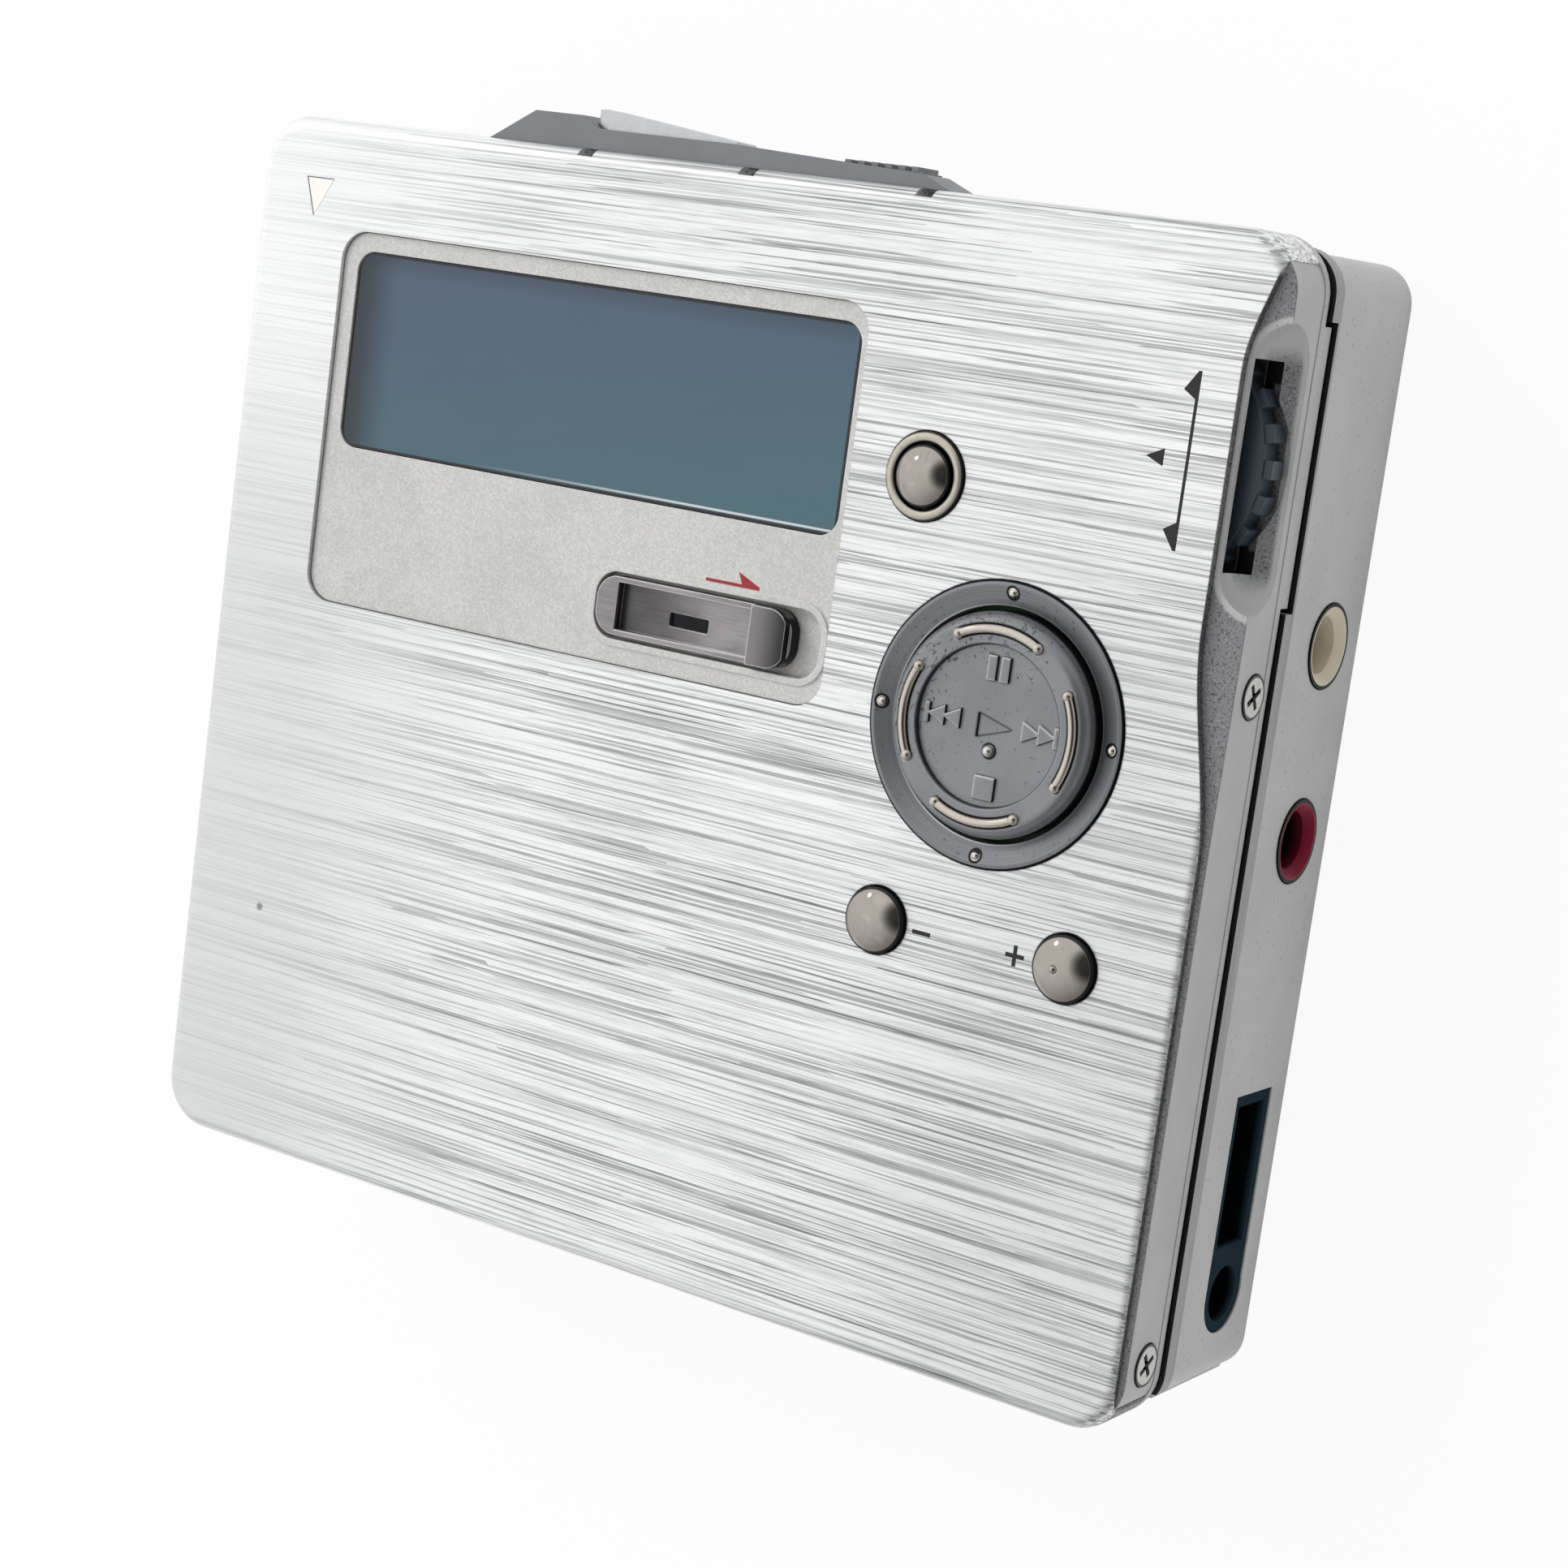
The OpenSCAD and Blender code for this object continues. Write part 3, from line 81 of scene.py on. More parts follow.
class Value:
    """A shader socket that takes part in Python sums."""

    def __init__(self, graph: "Graph", socket: bpy.types.NodeSocket) -> None:
        """Keeps the socket and the graph that it belongs to."""
        self.graph = graph
        self.socket = socket

    def __add__(self, other: Feed) -> "Value":
        """Adds."""
        return self.graph.math("ADD", self, other)

    def __radd__(self, other: Feed) -> "Value":
        """Adds, with the plain number first."""
        return self.graph.math("ADD", other, self)

    def __sub__(self, other: Feed) -> "Value":
        """Subtracts."""
        return self.graph.math("SUBTRACT", self, other)

    def __rsub__(self, other: Feed) -> "Value":
        """Subtracts from a plain number."""
        return self.graph.math("SUBTRACT", other, self)

    def __mul__(self, other: Feed) -> "Value":
        """Multiplies."""
        return self.graph.math("MULTIPLY", self, other)

    def __abs__(self) -> "Value":
        """Drops the sign."""
        return self.graph.math("ABSOLUTE", self)

    def step(self, low: float, high: float, floor: float = 0.0, top: float = 1.0) -> "Value":
        """Rises smoothly from floor to top as the value goes from low to high.

        Args:
            low: Where the rise starts.
            high: Where it ends.
            floor: Result before the rise.
            top: Result after it.

        Returns:
            The smooth step.
        """
        settings = {"interpolation_type": "SMOOTHSTEP"}
        inputs = {"Value": self, "From Min": low, "From Max": high, "To Min": floor, "To Max": top}
        return self.graph.out(self.graph.node("ShaderNodeMapRange", settings, inputs))

    def fall(self, low: float, high: float) -> "Value":
        """Falls smoothly from 1 to 0 as the value goes from low to high."""
        return self.step(low, high, floor=1.0, top=0.0)


class Graph:
    """The node tree of one material or of the world."""

    def __init__(self, tree: bpy.types.NodeTree) -> None:
        """Takes over a tree and empties it."""
        self.tree = tree
        self.tree.nodes.clear()

    def node(self, kind: str, settings: Optional[dict[str, Any]] = None,
             inputs: Optional[dict[Union[str, int], Feed]] = None) -> bpy.types.Node:
        """Adds one node, sets it up and feeds it.

        Args:
            kind: Blender's name of the node type.
            settings: Its properties.
            inputs: What goes into each of its sockets, by name or number.

        Returns:
            The new node.
        """
        made = self.tree.nodes.new(kind)
        for key, value in (settings or {}).items():
            setattr(made, key, value)
        for key, value in (inputs or {}).items():
            self.feed(made.inputs[key], value)
        return made

    def feed(self, socket: bpy.types.NodeSocket, value: Feed) -> None:
        """Links a value to a socket, or sets a plain number, vector or code of a colour on it."""
        if isinstance(value, Value):
            self.tree.links.new(value.socket, socket)
        else:
            socket.default_value = tint(value) if isinstance(value, str) else value

    def out(self, node: bpy.types.Node, name: Union[str, int] = 0) -> Value:
        """Gives an output of a node as a value."""
        return Value(self, node.outputs[name])

    def math(self, operation: str, *terms: Feed) -> Value:
        """Does one sum on numbers."""
        return self.out(self.node("ShaderNodeMath", {"operation": operation}, dict(enumerate(terms))))

    def most(self, one: Feed, other: Feed) -> Value:
        """Gives the larger of two numbers."""
        return self.math("MAXIMUM", one, other)

    def least(self, one: Feed, other: Feed) -> Value:
        """Gives the smaller of two numbers."""
        return self.math("MINIMUM", one, other)

    def length(self, *sides: Value) -> Value:
        """Gives the length of a line that goes that far along each axis."""
        squares = [side * side for side in sides]
        return self.math("SQRT", sum(squares[1:], squares[0]))

    def dot(self, one: Feed, other: Feed) -> Value:
        """Gives the dot product of two vectors."""
        sockets = {0: one, 1: other}
        return self.out(self.node("ShaderNodeVectorMath", {"operation": "DOT_PRODUCT"}, sockets), "Value")

    def mix(self, factor: Feed, low: Feed, high: Feed) -> Value:
        """Mixes two colours.

        Args:
            factor: 0 for the first colour, 1 for the second.
            low: First colour.
            high: Second colour.

        Returns:
            The mixed colour.
        """
        settings = {"data_type": "RGBA", "blend_type": "MIX", "clamp_factor": True}
        return self.out(self.node("ShaderNodeMix", settings, {0: factor, 6: low, 7: high}), 2)

    def coats(self, base: Feed, layers: Sequence[Layer]) -> Feed:
        """Lays colours over a first one.

        Args:
            base: The first colour.
            layers: Mask and colour of each coat.

        Returns:
            What shows of all of them.
        """
        for mask, colour in layers:
            base = self.mix(mask, base, colour)
        return base

    def place(self, stretch: Row = (1, 1, 1), centre: Row = (0, 0, 0),
              turn: Row = (0, 0, 0)) -> Value:
        """Gives the place on the object in millimetres.

        Args:
            stretch: Factor along each axis.
            centre: Point in millimetres that becomes the origin.
            turn: Turn about each axis in radians.

        Returns:
            The place as a vector.
        """
        where = self.out(self.node("ShaderNodeTexCoord"), "Object")
        moved = self.node("ShaderNodeMapping", {"vector_type": "POINT"}, {
            "Vector": where, "Location": [-c for c in centre], "Scale": (1000, 1000, 1000)})
        return self.out(self.node("ShaderNodeMapping", {"vector_type": "POINT"}, {
            "Vector": self.out(moved), "Rotation": turn, "Scale": stretch}))

    def reach(self, point: Row, weights: Row = (1, 1, 1)) -> Value:
        """Gives the distance from a point in millimetres, with a weight for each axis."""
        return self.length(*self.axes(self.place(weights, point)))

    def axes(self, vector: Value) -> tuple[Value, Value, Value]:
        """Splits a vector into its three numbers."""
        split = self.node("ShaderNodeSeparateXYZ", None, {0: vector})
        return self.out(split, 0), self.out(split, 1), self.out(split, 2)

    def noise(self, scale: float, detail: float = 2.0, rough: float = 0.5,
              where: Optional[Value] = None) -> Value:
        """Gives soft noise from 0 to 1.

        Args:
            scale: Number of features in a millimetre.
            detail: Octaves.
            rough: Share of each finer octave.
            where: Place in millimetres, if it isn't the one on the object.

        Returns:
            The noise.
        """
        vector = self.place() if where is None else where
        inputs = {"Vector": vector, "Scale": scale, "Detail": detail, "Roughness": rough}
        return self.out(self.node("ShaderNodeTexNoise", None, inputs))

    def streaks(self, stretch: Row, detail: float = 3.0, rough: float = 0.5, **placing: Row) -> Value:
        """Gives noise that is stretched along the axes and placed as place does it."""
        return self.noise(1.0, detail, rough, self.place(stretch, **placing))

    def cells(self, scale: float, stretch: Row = (1, 1, 1)) -> bpy.types.Node:
        """Adds random cells, with the distance and the colour of each."""
        return self.node("ShaderNodeTexVoronoi", None, {"Vector": self.place(stretch), "Scale": scale})

    def lots(self, cell: bpy.types.Node) -> Value:
        """Gives the random number from 0 to 1 that each cell has."""
        return self.axes(self.out(cell, "Color"))[0]

    def pinpoints(self) -> Value:
        """Gives a mask of sparse dots of about a tenth of a millimetre."""
        cell = self.cells(1.9)
        chosen = self.lots(cell).step(0.45, 0.5)
        return self.out(cell).fall(0.1, 0.2) * chosen

    def facing(self) -> tuple[Value, Value, Value]:
        """Gives the direction of the surface in the object's own axes."""
        return self.axes(self.out(self.node("ShaderNodeTexCoord"), "Normal"))

    def edges(self, radius: float) -> tuple[Value, Value]:
        """Rounds edges in the shading and finds them.

        Args:
            radius: Rounding in millimetres.

        Returns:
            The rounded direction of the surface, and a mask that is 1 on edges.
        """
        round_normal = self.out(self.node("ShaderNodeBevel", {"samples": 6}, {"Radius": radius * MM}))
        flat = self.out(self.node("ShaderNodeNewGeometry"), "Normal")
        return round_normal, (1.0 - self.dot(round_normal, flat)).step(0.01, 0.2)

    def bump(self, height: Value, depth: float, normal: Optional[Value] = None) -> Value:
        """Turns a height into a direction of the surface.

        Args:
            height: The height, about 0 to 1.
            depth: What a height of 1 stands for, in millimetres.
            normal: Direction of the surface to start from.

        Returns:
            The new direction.
        """
        inputs: dict[Union[str, int], Feed] = {"Strength": 1.0, "Distance": depth * MM, "Height": height}
        if normal is not None:
            inputs["Normal"] = normal
        return self.out(self.node("ShaderNodeBump", None, inputs))

    def surface(self, **inputs: Feed) -> None:
        """Ends the graph in the main shader, with underscores for the spaces in its sockets' names."""
        named = {key.replace("_", " "): value for key, value in inputs.items()}
        shader = self.node("ShaderNodeBsdfPrincipled", None, named)
        self.node("ShaderNodeOutputMaterial", None, {"Surface": self.out(shader)})


class Finish:
    """A finish that is made into one material the first time it is used."""

    name: str

    def paint(self, graph: Graph) -> None:
        """Builds the shader of the finish."""
        raise NotImplementedError

    def material(self) -> bpy.types.Material:
        """Gives the material, and makes it the first time."""
        title = f"{self.name}_finish"
        known = bpy.data.materials.get(title)
        if known is None:
            known = bpy.data.materials.new(title)
            known.use_nodes = True
            self.paint(Graph(known.node_tree))
        return known


@dataclass(frozen=True)
class BrushedSheet(Finish):
    """Aluminium sheet brushed along its width, with a raw cut edge at the jog wheel, marks of use and
    painted shade on its left and right.
    """

    name: str = "brushed_sheet"
    light: str = "f7f8f8"
    dark: str = "45474a"
    satin: str = "b4b7b8"
    raw: str = "7c7d7e"
    cut_from: float = 36.0
    cut_to: float = 33.4
    nick: Point = (-32.03, -18.8, 17.1)
    worked_x: Span = (-38.0, -6.0)
    left_x: Span = (-36.0, -8.0)
    left_y: Span = (4.0, 26.0)
    right_x: Span = (10.0, 34.0)
    right_y: Span = (8.0, 24.0)

    @staticmethod
    def lines(graph: Graph, stretch: Row) -> Value:
        """Gives long thin cells along X, each with a random number from 0 to 1."""
        return graph.lots(graph.cells(1.0, stretch))

    def paint(self, graph: Graph) -> None:
        """Lays scratches of three widths over a bright sheet, paints shade left and right, roughens the
        cut and dents the nick.
        """
        x, y, _ = graph.axes(graph.place())
        fine = self.lines(graph, (0.07, 8.5, 5.0))
        long = self.lines(graph, (0.03, 6.0, 5.0))
        hair = graph.streaks((0.3, 11.0, 4.0), 1.0, centre=(5, 7, 0))
        broad = graph.streaks((0.03, 0.7, 1.0), 2.0)
        patch = graph.streaks((0.05, 0.08, 0.1), 2.0, centre=(40, 10, 0))
        pitted = graph.noise(6.0, 3.0, 0.7)
        worked = x.step(*self.worked_x, 0.2, 1.0) * patch.step(0.3, 0.62, 0.86, 1.0)
        scratch = fine.step(0.42, 1.0) * 0.66 + long.step(0.72, 1.0) * 0.3
        amount = (scratch + hair.step(0.5, 0.7) * 0.2) * worked
        # Painted shade: the left and right parts of the sheet are darkened towards a grey tone, as the
        # light falls there.
        left = x.fall(*self.left_x) * y.fall(*self.left_y)
        right = x.step(*self.right_x) * y.fall(*self.right_y)
        round_normal, edge = graph.edges(0.12)
        chipped = edge * graph.noise(1.3, 4.0, 0.7).step(0.56, 0.66)
        sideways, _, up = graph.facing()
        cut = sideways.step(0.3, 0.6) * abs(up).fall(0.2, 0.3)
        cut = cut * x.step(self.cut_from, self.cut_from + 0.1)
        cut = cut * y.fall(self.cut_to, self.cut_to + 0.4)
        dent = graph.reach(self.nick).fall(0.12, 0.4)
        shade = graph.coats(self.light, [
            (left * 0.42 + right * 0.28, self.satin),
            (amount * 0.8, self.dark),
            (broad.step(0.35, 0.75) * worked * 0.03, self.dark),
            (chipped * 0.65, "3c3d3f"),
            (cut, graph.mix(pitted.step(0.4, 0.62), self.raw, "3a3b3d")),
            (dent * 0.7, "55585a")])
        height = fine * 0.4 + long * 0.3 + hair * 0.3 - dent * 3.0 + cut * pitted * 3.0
        graph.surface(
            Base_Color=shade, Metallic=0.72 - cut * 0.4, Roughness=0.36 + amount * 0.1 + broad * 0.08,
            Anisotropic=0.4, Normal=graph.bump(height, 0.005, round_normal))


@dataclass(frozen=True)
class Coated(Finish):
    """Painted or moulded shell with fine grain, faint mottling and lighter edges."""

    name: str
    colour: str
    rough: float = 0.5
    metal: float = 0.0
    grain: float = 7.0
    depth: float = 0.006
    mottle: float = 0.06
    wear: float = 0.2
    edge: float = 0.1
    bore: float = 0.0
    bore_shade_l: float = 2.2
    dots: float = 0.0
    gloss: float = 0.5

    def paint(self, graph: Graph) -> None:
        """Mottles the colour, roughens it with grain, lifts the edges and paints shade into the depth of a
        bore.
        """
        grain = graph.noise(self.grain, 3.0, 0.6)
        cloud = graph.noise(0.22, 3.0)
        round_normal, edge = graph.edges(self.edge)
        bright = scaled(self.colour, 1.6, 0.02)
        deep = scaled(self.colour, 0.72)
        shade = graph.coats(self.colour, [
            (cloud.step(0.3, 0.7) * self.mottle * 3, deep),
            (grain.step(0.55, 0.8) * self.mottle * 2, bright),
            (edge * self.wear, bright)])
        if self.dots:
            shade = graph.mix(graph.pinpoints() * self.dots, shade, "2e2f31")
        # Painted shade: the inside of a bore goes towards black with its depth.
        if self.bore:
            outward = abs(graph.axes(graph.place())[0])
            depth = outward.step(self.bore - self.bore_shade_l, self.bore, 0.94, 0.0)
            shade = graph.mix(depth, shade, "050607")
        graph.surface(
            Base_Color=shade, Metallic=self.metal, Specular_IOR_Level=self.gloss,
            Roughness=self.rough + (cloud - 0.5) * 0.16 - edge * 0.08,
            Normal=graph.bump(grain, self.depth, round_normal))


@dataclass(frozen=True)
class BlastedFrame(Finish):
    """Lid frame: smooth light sides and rims, blasted dark grain on the ledge, and dark grain with painted
    shade in the dish and slot.
    """

    name: str = "blasted_frame"
    smooth: str = "c4c5c4"
    blasted: str = "8e8f92"
    speck: str = "303134"
    ledge_z: float = 16.0
    dish: Point = (39.6, 22.5, 15.85)
    dish_half: float = 5.9
    dish_r: float = 2.58
    hollow: tuple[Span, Span, Span] = ((-0.95, -0.6), (5.6, 7.4), (-1.1, -0.6))
    slot: tuple[Span, Span, Span] = ((-1.2, -1.1), (6.3, 6.4), (0.2, 0.3))
    end_x: Span = (-2.6, -2.2)
    end_y: Span = (4.5, 5.0)

    def paint(self, graph: Graph) -> None:
        """Finds the ledge by its height and slope, and hollow and slot by their place in the dish, and
        paints shade in both.
        """
        x, y, z = graph.axes(graph.place(centre=self.dish))
        up = graph.facing()[2]
        past = graph.most(abs(y) - self.dish_half, 0.0)
        axis = graph.length(x, z, past)
        hollow = axis.fall(self.dish_r + 0.04, self.dish_r + 0.1)
        slot = axis.step(self.dish_r + 0.07, self.dish_r + 0.13)
        for way, in_hollow, in_slot in zip((x, abs(y), z), self.hollow, self.slot):
            hollow = hollow * way.fall(*in_hollow)
            slot = slot * way.fall(*in_slot)
        rim = axis.step(self.dish_r + 0.3, self.dish_r + 0.55)
        high = self.ledge_z - self.dish[2]
        ledge = up.step(0.6, 0.8) * z.step(high - 0.1, high) * rim
        ends = graph.most(abs(y).step(*self.end_y), x.fall(*self.end_x))
        # Painted shade: the hollow and the slot's walls take the dark blasted tone and grain, as shade
        # falls there.
        rough = graph.most(graph.most(ledge, hollow), slot * (1.0 - ends))
        slot = slot * ends
        grain = graph.noise(6.5, 3.0, 0.75)
        fine = graph.noise(9.0, 2.0)
        cloud = graph.noise(0.3, 2.0)
        round_normal, edge = graph.edges(0.14)
        # Painted shade: the slot's ends are painted near black.
        shade = graph.coats(self.smooth, [
            (rough, self.blasted),
            (grain.step(0.52, 0.66) * rough * 0.9, self.speck),
            (grain.step(0.42, 0.3) * rough * 0.6, "d4d4d4"),
            (fine.step(0.6, 0.75) * 0.18, self.blasted),
            (cloud.step(0.3, 0.7) * 0.14, self.blasted),
            (edge * 0.22, "dededc"),
            (graph.pinpoints() * 0.35, self.speck),
            (slot, "0e0f11")])
        height = fine * 0.2 + grain * rough * 1.2
        graph.surface(
            Base_Color=shade, Metallic=(0.12 + rough * 0.3) * (1.0 - slot), Roughness=0.5 - edge * 0.16,
            Normal=graph.bump(height, 0.03, round_normal))


@dataclass(frozen=True)
class Sparkle(Finish):
    """Metallic paint with small flakes that catch the light one by one."""

    name: str
    colour: str
    rough: float = 0.42
    metal: float = 0.5
    flakes: float = 9.0
    spread: float = 0.5
    edge: float = 0.12

    def paint(self, graph: Graph) -> None:
        """Gives each flake its own brightness and tilt."""
        flake = graph.lots(graph.cells(self.flakes))
        fine = graph.noise(12.0, 2.0)
        cloud = graph.noise(0.2, 2.0)
        round_normal, edge = graph.edges(self.edge)
        bright = scaled(self.colour, 2.1, 0.03)
        deep = scaled(self.colour, 0.55)
        shade = graph.coats(self.colour, [
            (flake.step(0.5, 1.0) * self.spread, bright),
            (flake.step(0.4, 0.0) * self.spread, deep),
            (cloud.step(0.35, 0.7) * 0.12, deep),
            (edge * 0.5, bright)])
        graph.surface(
            Base_Color=shade, Metallic=self.metal, Coat_Weight=0.15, Coat_Roughness=0.2,
            Roughness=self.rough - flake.step(0.7, 1.0) * 0.12,
            Normal=graph.bump(fine * 0.5 + flake * 0.5, 0.008, round_normal))


@dataclass(frozen=True)
class Polished(Finish):
    """Bright plated metal with faint smudges and hair scratches."""

    name: str
    colour: str
    rough: float = 0.12
    scratch: float = 0.12
    edge: float = 0.1

    def paint(self, graph: Graph) -> None:
        """Varies the gloss with smudges and scratches."""
        smudge = graph.noise(0.9, 3.0)
        hair = graph.streaks((6.0, 0.7, 2.0), turn=(0, 0, 0.6))
        round_normal, _ = graph.edges(self.edge)
        dull = scaled(self.colour, 0.7)
        marks = hair.step(0.58, 0.7) * self.scratch * 2 + smudge.step(0.4, 0.7) * 0.1
        shade = graph.mix(marks, self.colour, dull)
        graph.surface(
            Base_Color=shade, Metallic=1.0,
            Roughness=self.rough + smudge.step(0.35, 0.7) * 0.08 + hair * self.scratch * 0.3,
            Normal=graph.bump(hair, 0.001, round_normal))


@dataclass(frozen=True)
class Drawn(Finish):
    """Satin metal drawn along its length."""

    name: str
    colour: str
    rough: float = 0.3
    stretch: Point = (0.4, 8.0, 8.0)
    contrast: float = 0.3
    edge: float = 0.1

    def paint(self, graph: Graph) -> None:
        """Draws fine lines along the piece and brightens its edges."""
        line = graph.streaks(self.stretch, 3.0, 0.6)
        cloud = graph.noise(0.4, 2.0)
        round_normal, edge = graph.edges(self.edge)
        bright = scaled(self.colour, 1.5, 0.05)
        dull = scaled(self.colour, 0.6)
        shade = graph.coats(self.colour, [
            (line.step(0.35, 0.75) * self.contrast, dull),
            (edge * 0.6, bright)])
        graph.surface(
            Base_Color=shade, Metallic=0.95,
            Roughness=self.rough + line * 0.12 + cloud * 0.06 - edge * 0.08,
            Normal=graph.bump(line, 0.004, round_normal))


def slant(graph: Graph, top: float) -> Value:
    """Rises down the display, from its upper edge to the lower key end."""
    x, y, _ = graph.axes(graph.place())
    return (top - y + (x + 10) * 0.16).step(0.0, 17.0)


@dataclass(frozen=True)
class WindowPane(Finish):
    """Smoked display window with a printed black outline and a darker band at its far end."""

    name: str = "window_pane"
    left: float = -29.8
    right: float = 11.0
    low: float = 14.2
    high: float = 27.5
    line: float = 0.16
    band: float = 4.2
    painted_glint_x: Span = (-20.0, 2.0)

    def paint(self, graph: Graph) -> None:
        """Prints the outline by the distance from the pane's edges, over a faint tint."""
        x, y, _ = graph.axes(graph.place())
        side = graph.least(x - self.left, self.right - x)
        end = graph.least(y - self.low, self.high - y)
        inward = graph.least(side, end)
        frame_line = inward.fall(self.line, self.line + 0.12)
        far = (x - self.left).fall(0.2, self.band)
        # Painted highlight: a thin bright line along the pane near its lower edge.
        painted_glint = abs(y - self.low - self.line - 0.2).fall(0.04, 0.1) * x.step(*self.painted_glint_x)
        smear = graph.streaks((0.15, 0.3, 1.0))
        # Painted shade darkens the top edge of the pane; the bright line near the lower edge is a painted
        # highlight.
        shade = graph.coats("4b6077", [
            (slant(graph, self.high), "476c77"),
            ((self.high - y).step(0.3, 1.6, 0.35, 0.0), "2b3238"),
            (far * 0.85, "1e242a"),
            (painted_glint * 0.8, "eef2f2"),
            (frame_line, "0b0c0e")])
        alpha = graph.most(frame_line, 0.88 + smear * 0.06)
        graph.surface(
            Base_Color=shade, Metallic=0.0, Roughness=0.04 + smear * 0.05, IOR=1.5, Alpha=alpha,
            Coat_Weight=0.1, Coat_Roughness=0.03)


@dataclass(frozen=True)
class DisplayPanel(Finish):
    """Unlit display glass that goes from slate blue at the top to teal at the lower key end."""

    name: str = "display_panel"
    far: float = -28.2
    high: float = 27.5

    def paint(self, graph: Graph) -> None:
        """Blends the two hues across the glass and darkens its far end."""
        x = graph.axes(graph.place())[0]
        fleck = graph.out(graph.cells(5.0)).step(0.0, 0.6)
        shade = graph.coats("3c4f60", [
            (slant(graph, self.high), "3a5a66"),
            (fleck * 0.08, "6d8388"),
            (x.fall(self.far, self.far + 0.15) * 0.7, "3c464c")])
        graph.surface(Base_Color=shade, Metallic=0.0, Roughness=0.3 + fleck * 0.05)


@dataclass(frozen=True)
class CircuitBoard(Finish):
    """Solder mask with copper tracks showing through and tinned pads."""

    name: str = "circuit_board"
    mask: str = "1f5a3a"

    def paint(self, graph: Graph) -> None:
        """Draws tracks and pads from cells."""
        cell = graph.lots(graph.cells(0.6, (0.5, 1.4, 1)))
        track = abs(graph.noise(0.5, 1.0) - 0.5).fall(0.0, 0.02)
        pad = graph.out(graph.cells(0.9)).fall(0.16, 0.2)
        grain = graph.noise(6.0, 2.0)
        shade = graph.coats(self.mask, [
            (cell.step(0.3, 0.7) * 0.35, "2f7a4c"),
            (track * 0.6, "3f9560"),
            (pad, "c9c3b4")])
        graph.surface(
            Base_Color=shade, Metallic=pad * 0.9, Roughness=0.42 - pad * 0.12,
            Normal=graph.bump(track + pad + grain * 0.2, 0.02))


@dataclass(frozen=True)
class Wrapped(Finish):
    """Shrink wrap of the flat cell, with a lighter end band and fine creases."""

    name: str = "cell_wrap"
    colour: str = "2b4a6e"
    band: float = 22.0

    def paint(self, graph: Graph) -> None:
        """Puts a pale band on one end and creases all over."""
        x = graph.axes(graph.place())[0]
        crease = graph.streaks((0.3, 1.6, 1.6), 4.0, 0.6)
        end = x.step(self.band, self.band + 0.2)
        shade = graph.coats(self.colour, [
            (end, "c8ccd0"),
            (crease.step(0.5, 0.8) * 0.2, "9fb0c4")])
        graph.surface(
            Base_Color=shade, Metallic=0.0, Roughness=0.3 + crease * 0.15, Coat_Weight=0.3,
            Normal=graph.bump(crease, 0.05))


@dataclass(frozen=True)
class Lens(Finish):
    """Glossy glass with one hue on its crest and another on its slopes, and a little dust."""

    name: str
    inner: str
    outer: str
    rough: float = 0.05

    def paint(self, graph: Graph) -> None:
        """Blends the two hues by slope and adds dust."""
        up = graph.facing()[2]
        dust = graph.noise(8.0, 2.0).step(0.6, 0.75)
        # For the indicator lens the darker slope hue is painted shade.
        shade = graph.mix(up.step(0.7, 1.0), self.outer, self.inner)
        graph.surface(
            Base_Color=graph.mix(dust * 0.2, shade, "c0c4c8"), Metallic=0.2,
            Roughness=self.rough + dust * 0.2, Coat_Weight=0.8, Coat_Roughness=0.03)


@dataclass(frozen=True)
class Ink(Finish):
    """Printed ink with a slightly uneven edge of tone."""

    name: str
    colour: str
    rim: str

    def paint(self, graph: Graph) -> None:
        """Breaks the ink up a little, as a pad print is."""
        spot = graph.noise(9.0, 3.0, 0.6)
        shade = graph.mix(spot.step(0.45, 0.75) * 0.35, self.colour, self.rim)
        graph.surface(Base_Color=shade, Roughness=0.45 + spot * 0.2, Normal=graph.bump(spot, 0.003))


@dataclass(frozen=True)
class TurnedRing(Finish):
    """Gunmetal ring with turning lines, painted shade at its outer edge, a painted highlight at its inner
    edge, and four bright beads in painted shade.
    """

    name: str
    colour: str
    centre: Point
    inner: float
    outer: float
    bead_at: float
    bead_r: float

    def paint(self, graph: Graph) -> None:
        """Paints shade and a highlight on the ring by the distance from its axis, and plates the beads."""
        x, y, _ = graph.axes(graph.place(centre=self.centre))
        radius = graph.length(x, y)
        wide = graph.most(abs(x), abs(y)) - self.bead_at
        slim = graph.least(abs(x), abs(y))
        from_bead = graph.length(wide, slim)
        bead = from_bead.fall(self.bead_r - 0.02, self.bead_r + 0.03)
        seat_shade = from_bead.fall(self.bead_r + 0.1, self.bead_r + 0.2)
        outward = graph.node("ShaderNodeCombineXYZ", None, {0: radius * 5.0})
        turning = graph.noise(1.0, 3.0, where=graph.out(outward))
        speck = graph.noise(3.4, 3.0, 0.7).step(0.62, 0.7)
        round_normal, edge = graph.edges(0.1)
        # Painted shade at the outer edge, a painted highlight at the inner edge, and painted shade round
        # each bead.
        shade = graph.coats(self.colour, [
            (turning.step(0.35, 0.7) * 0.3, "4c4e52"),
            (speck * 0.6, "26272a"),
            (edge * 0.5, "b9babc"),
            (radius.step(self.outer - 0.13, self.outer - 0.08), "141517"),
            (radius.fall(self.inner + 0.05, self.inner + 0.14), "c6c7c8"),
            (seat_shade, "17181a"),
            (bead, "dbd5cd")])
        graph.surface(
            Base_Color=shade, Metallic=0.85 + bead * 0.15, Roughness=0.26 + turning * 0.1 - bead * 0.2,
            Normal=graph.bump(turning, 0.004, round_normal))


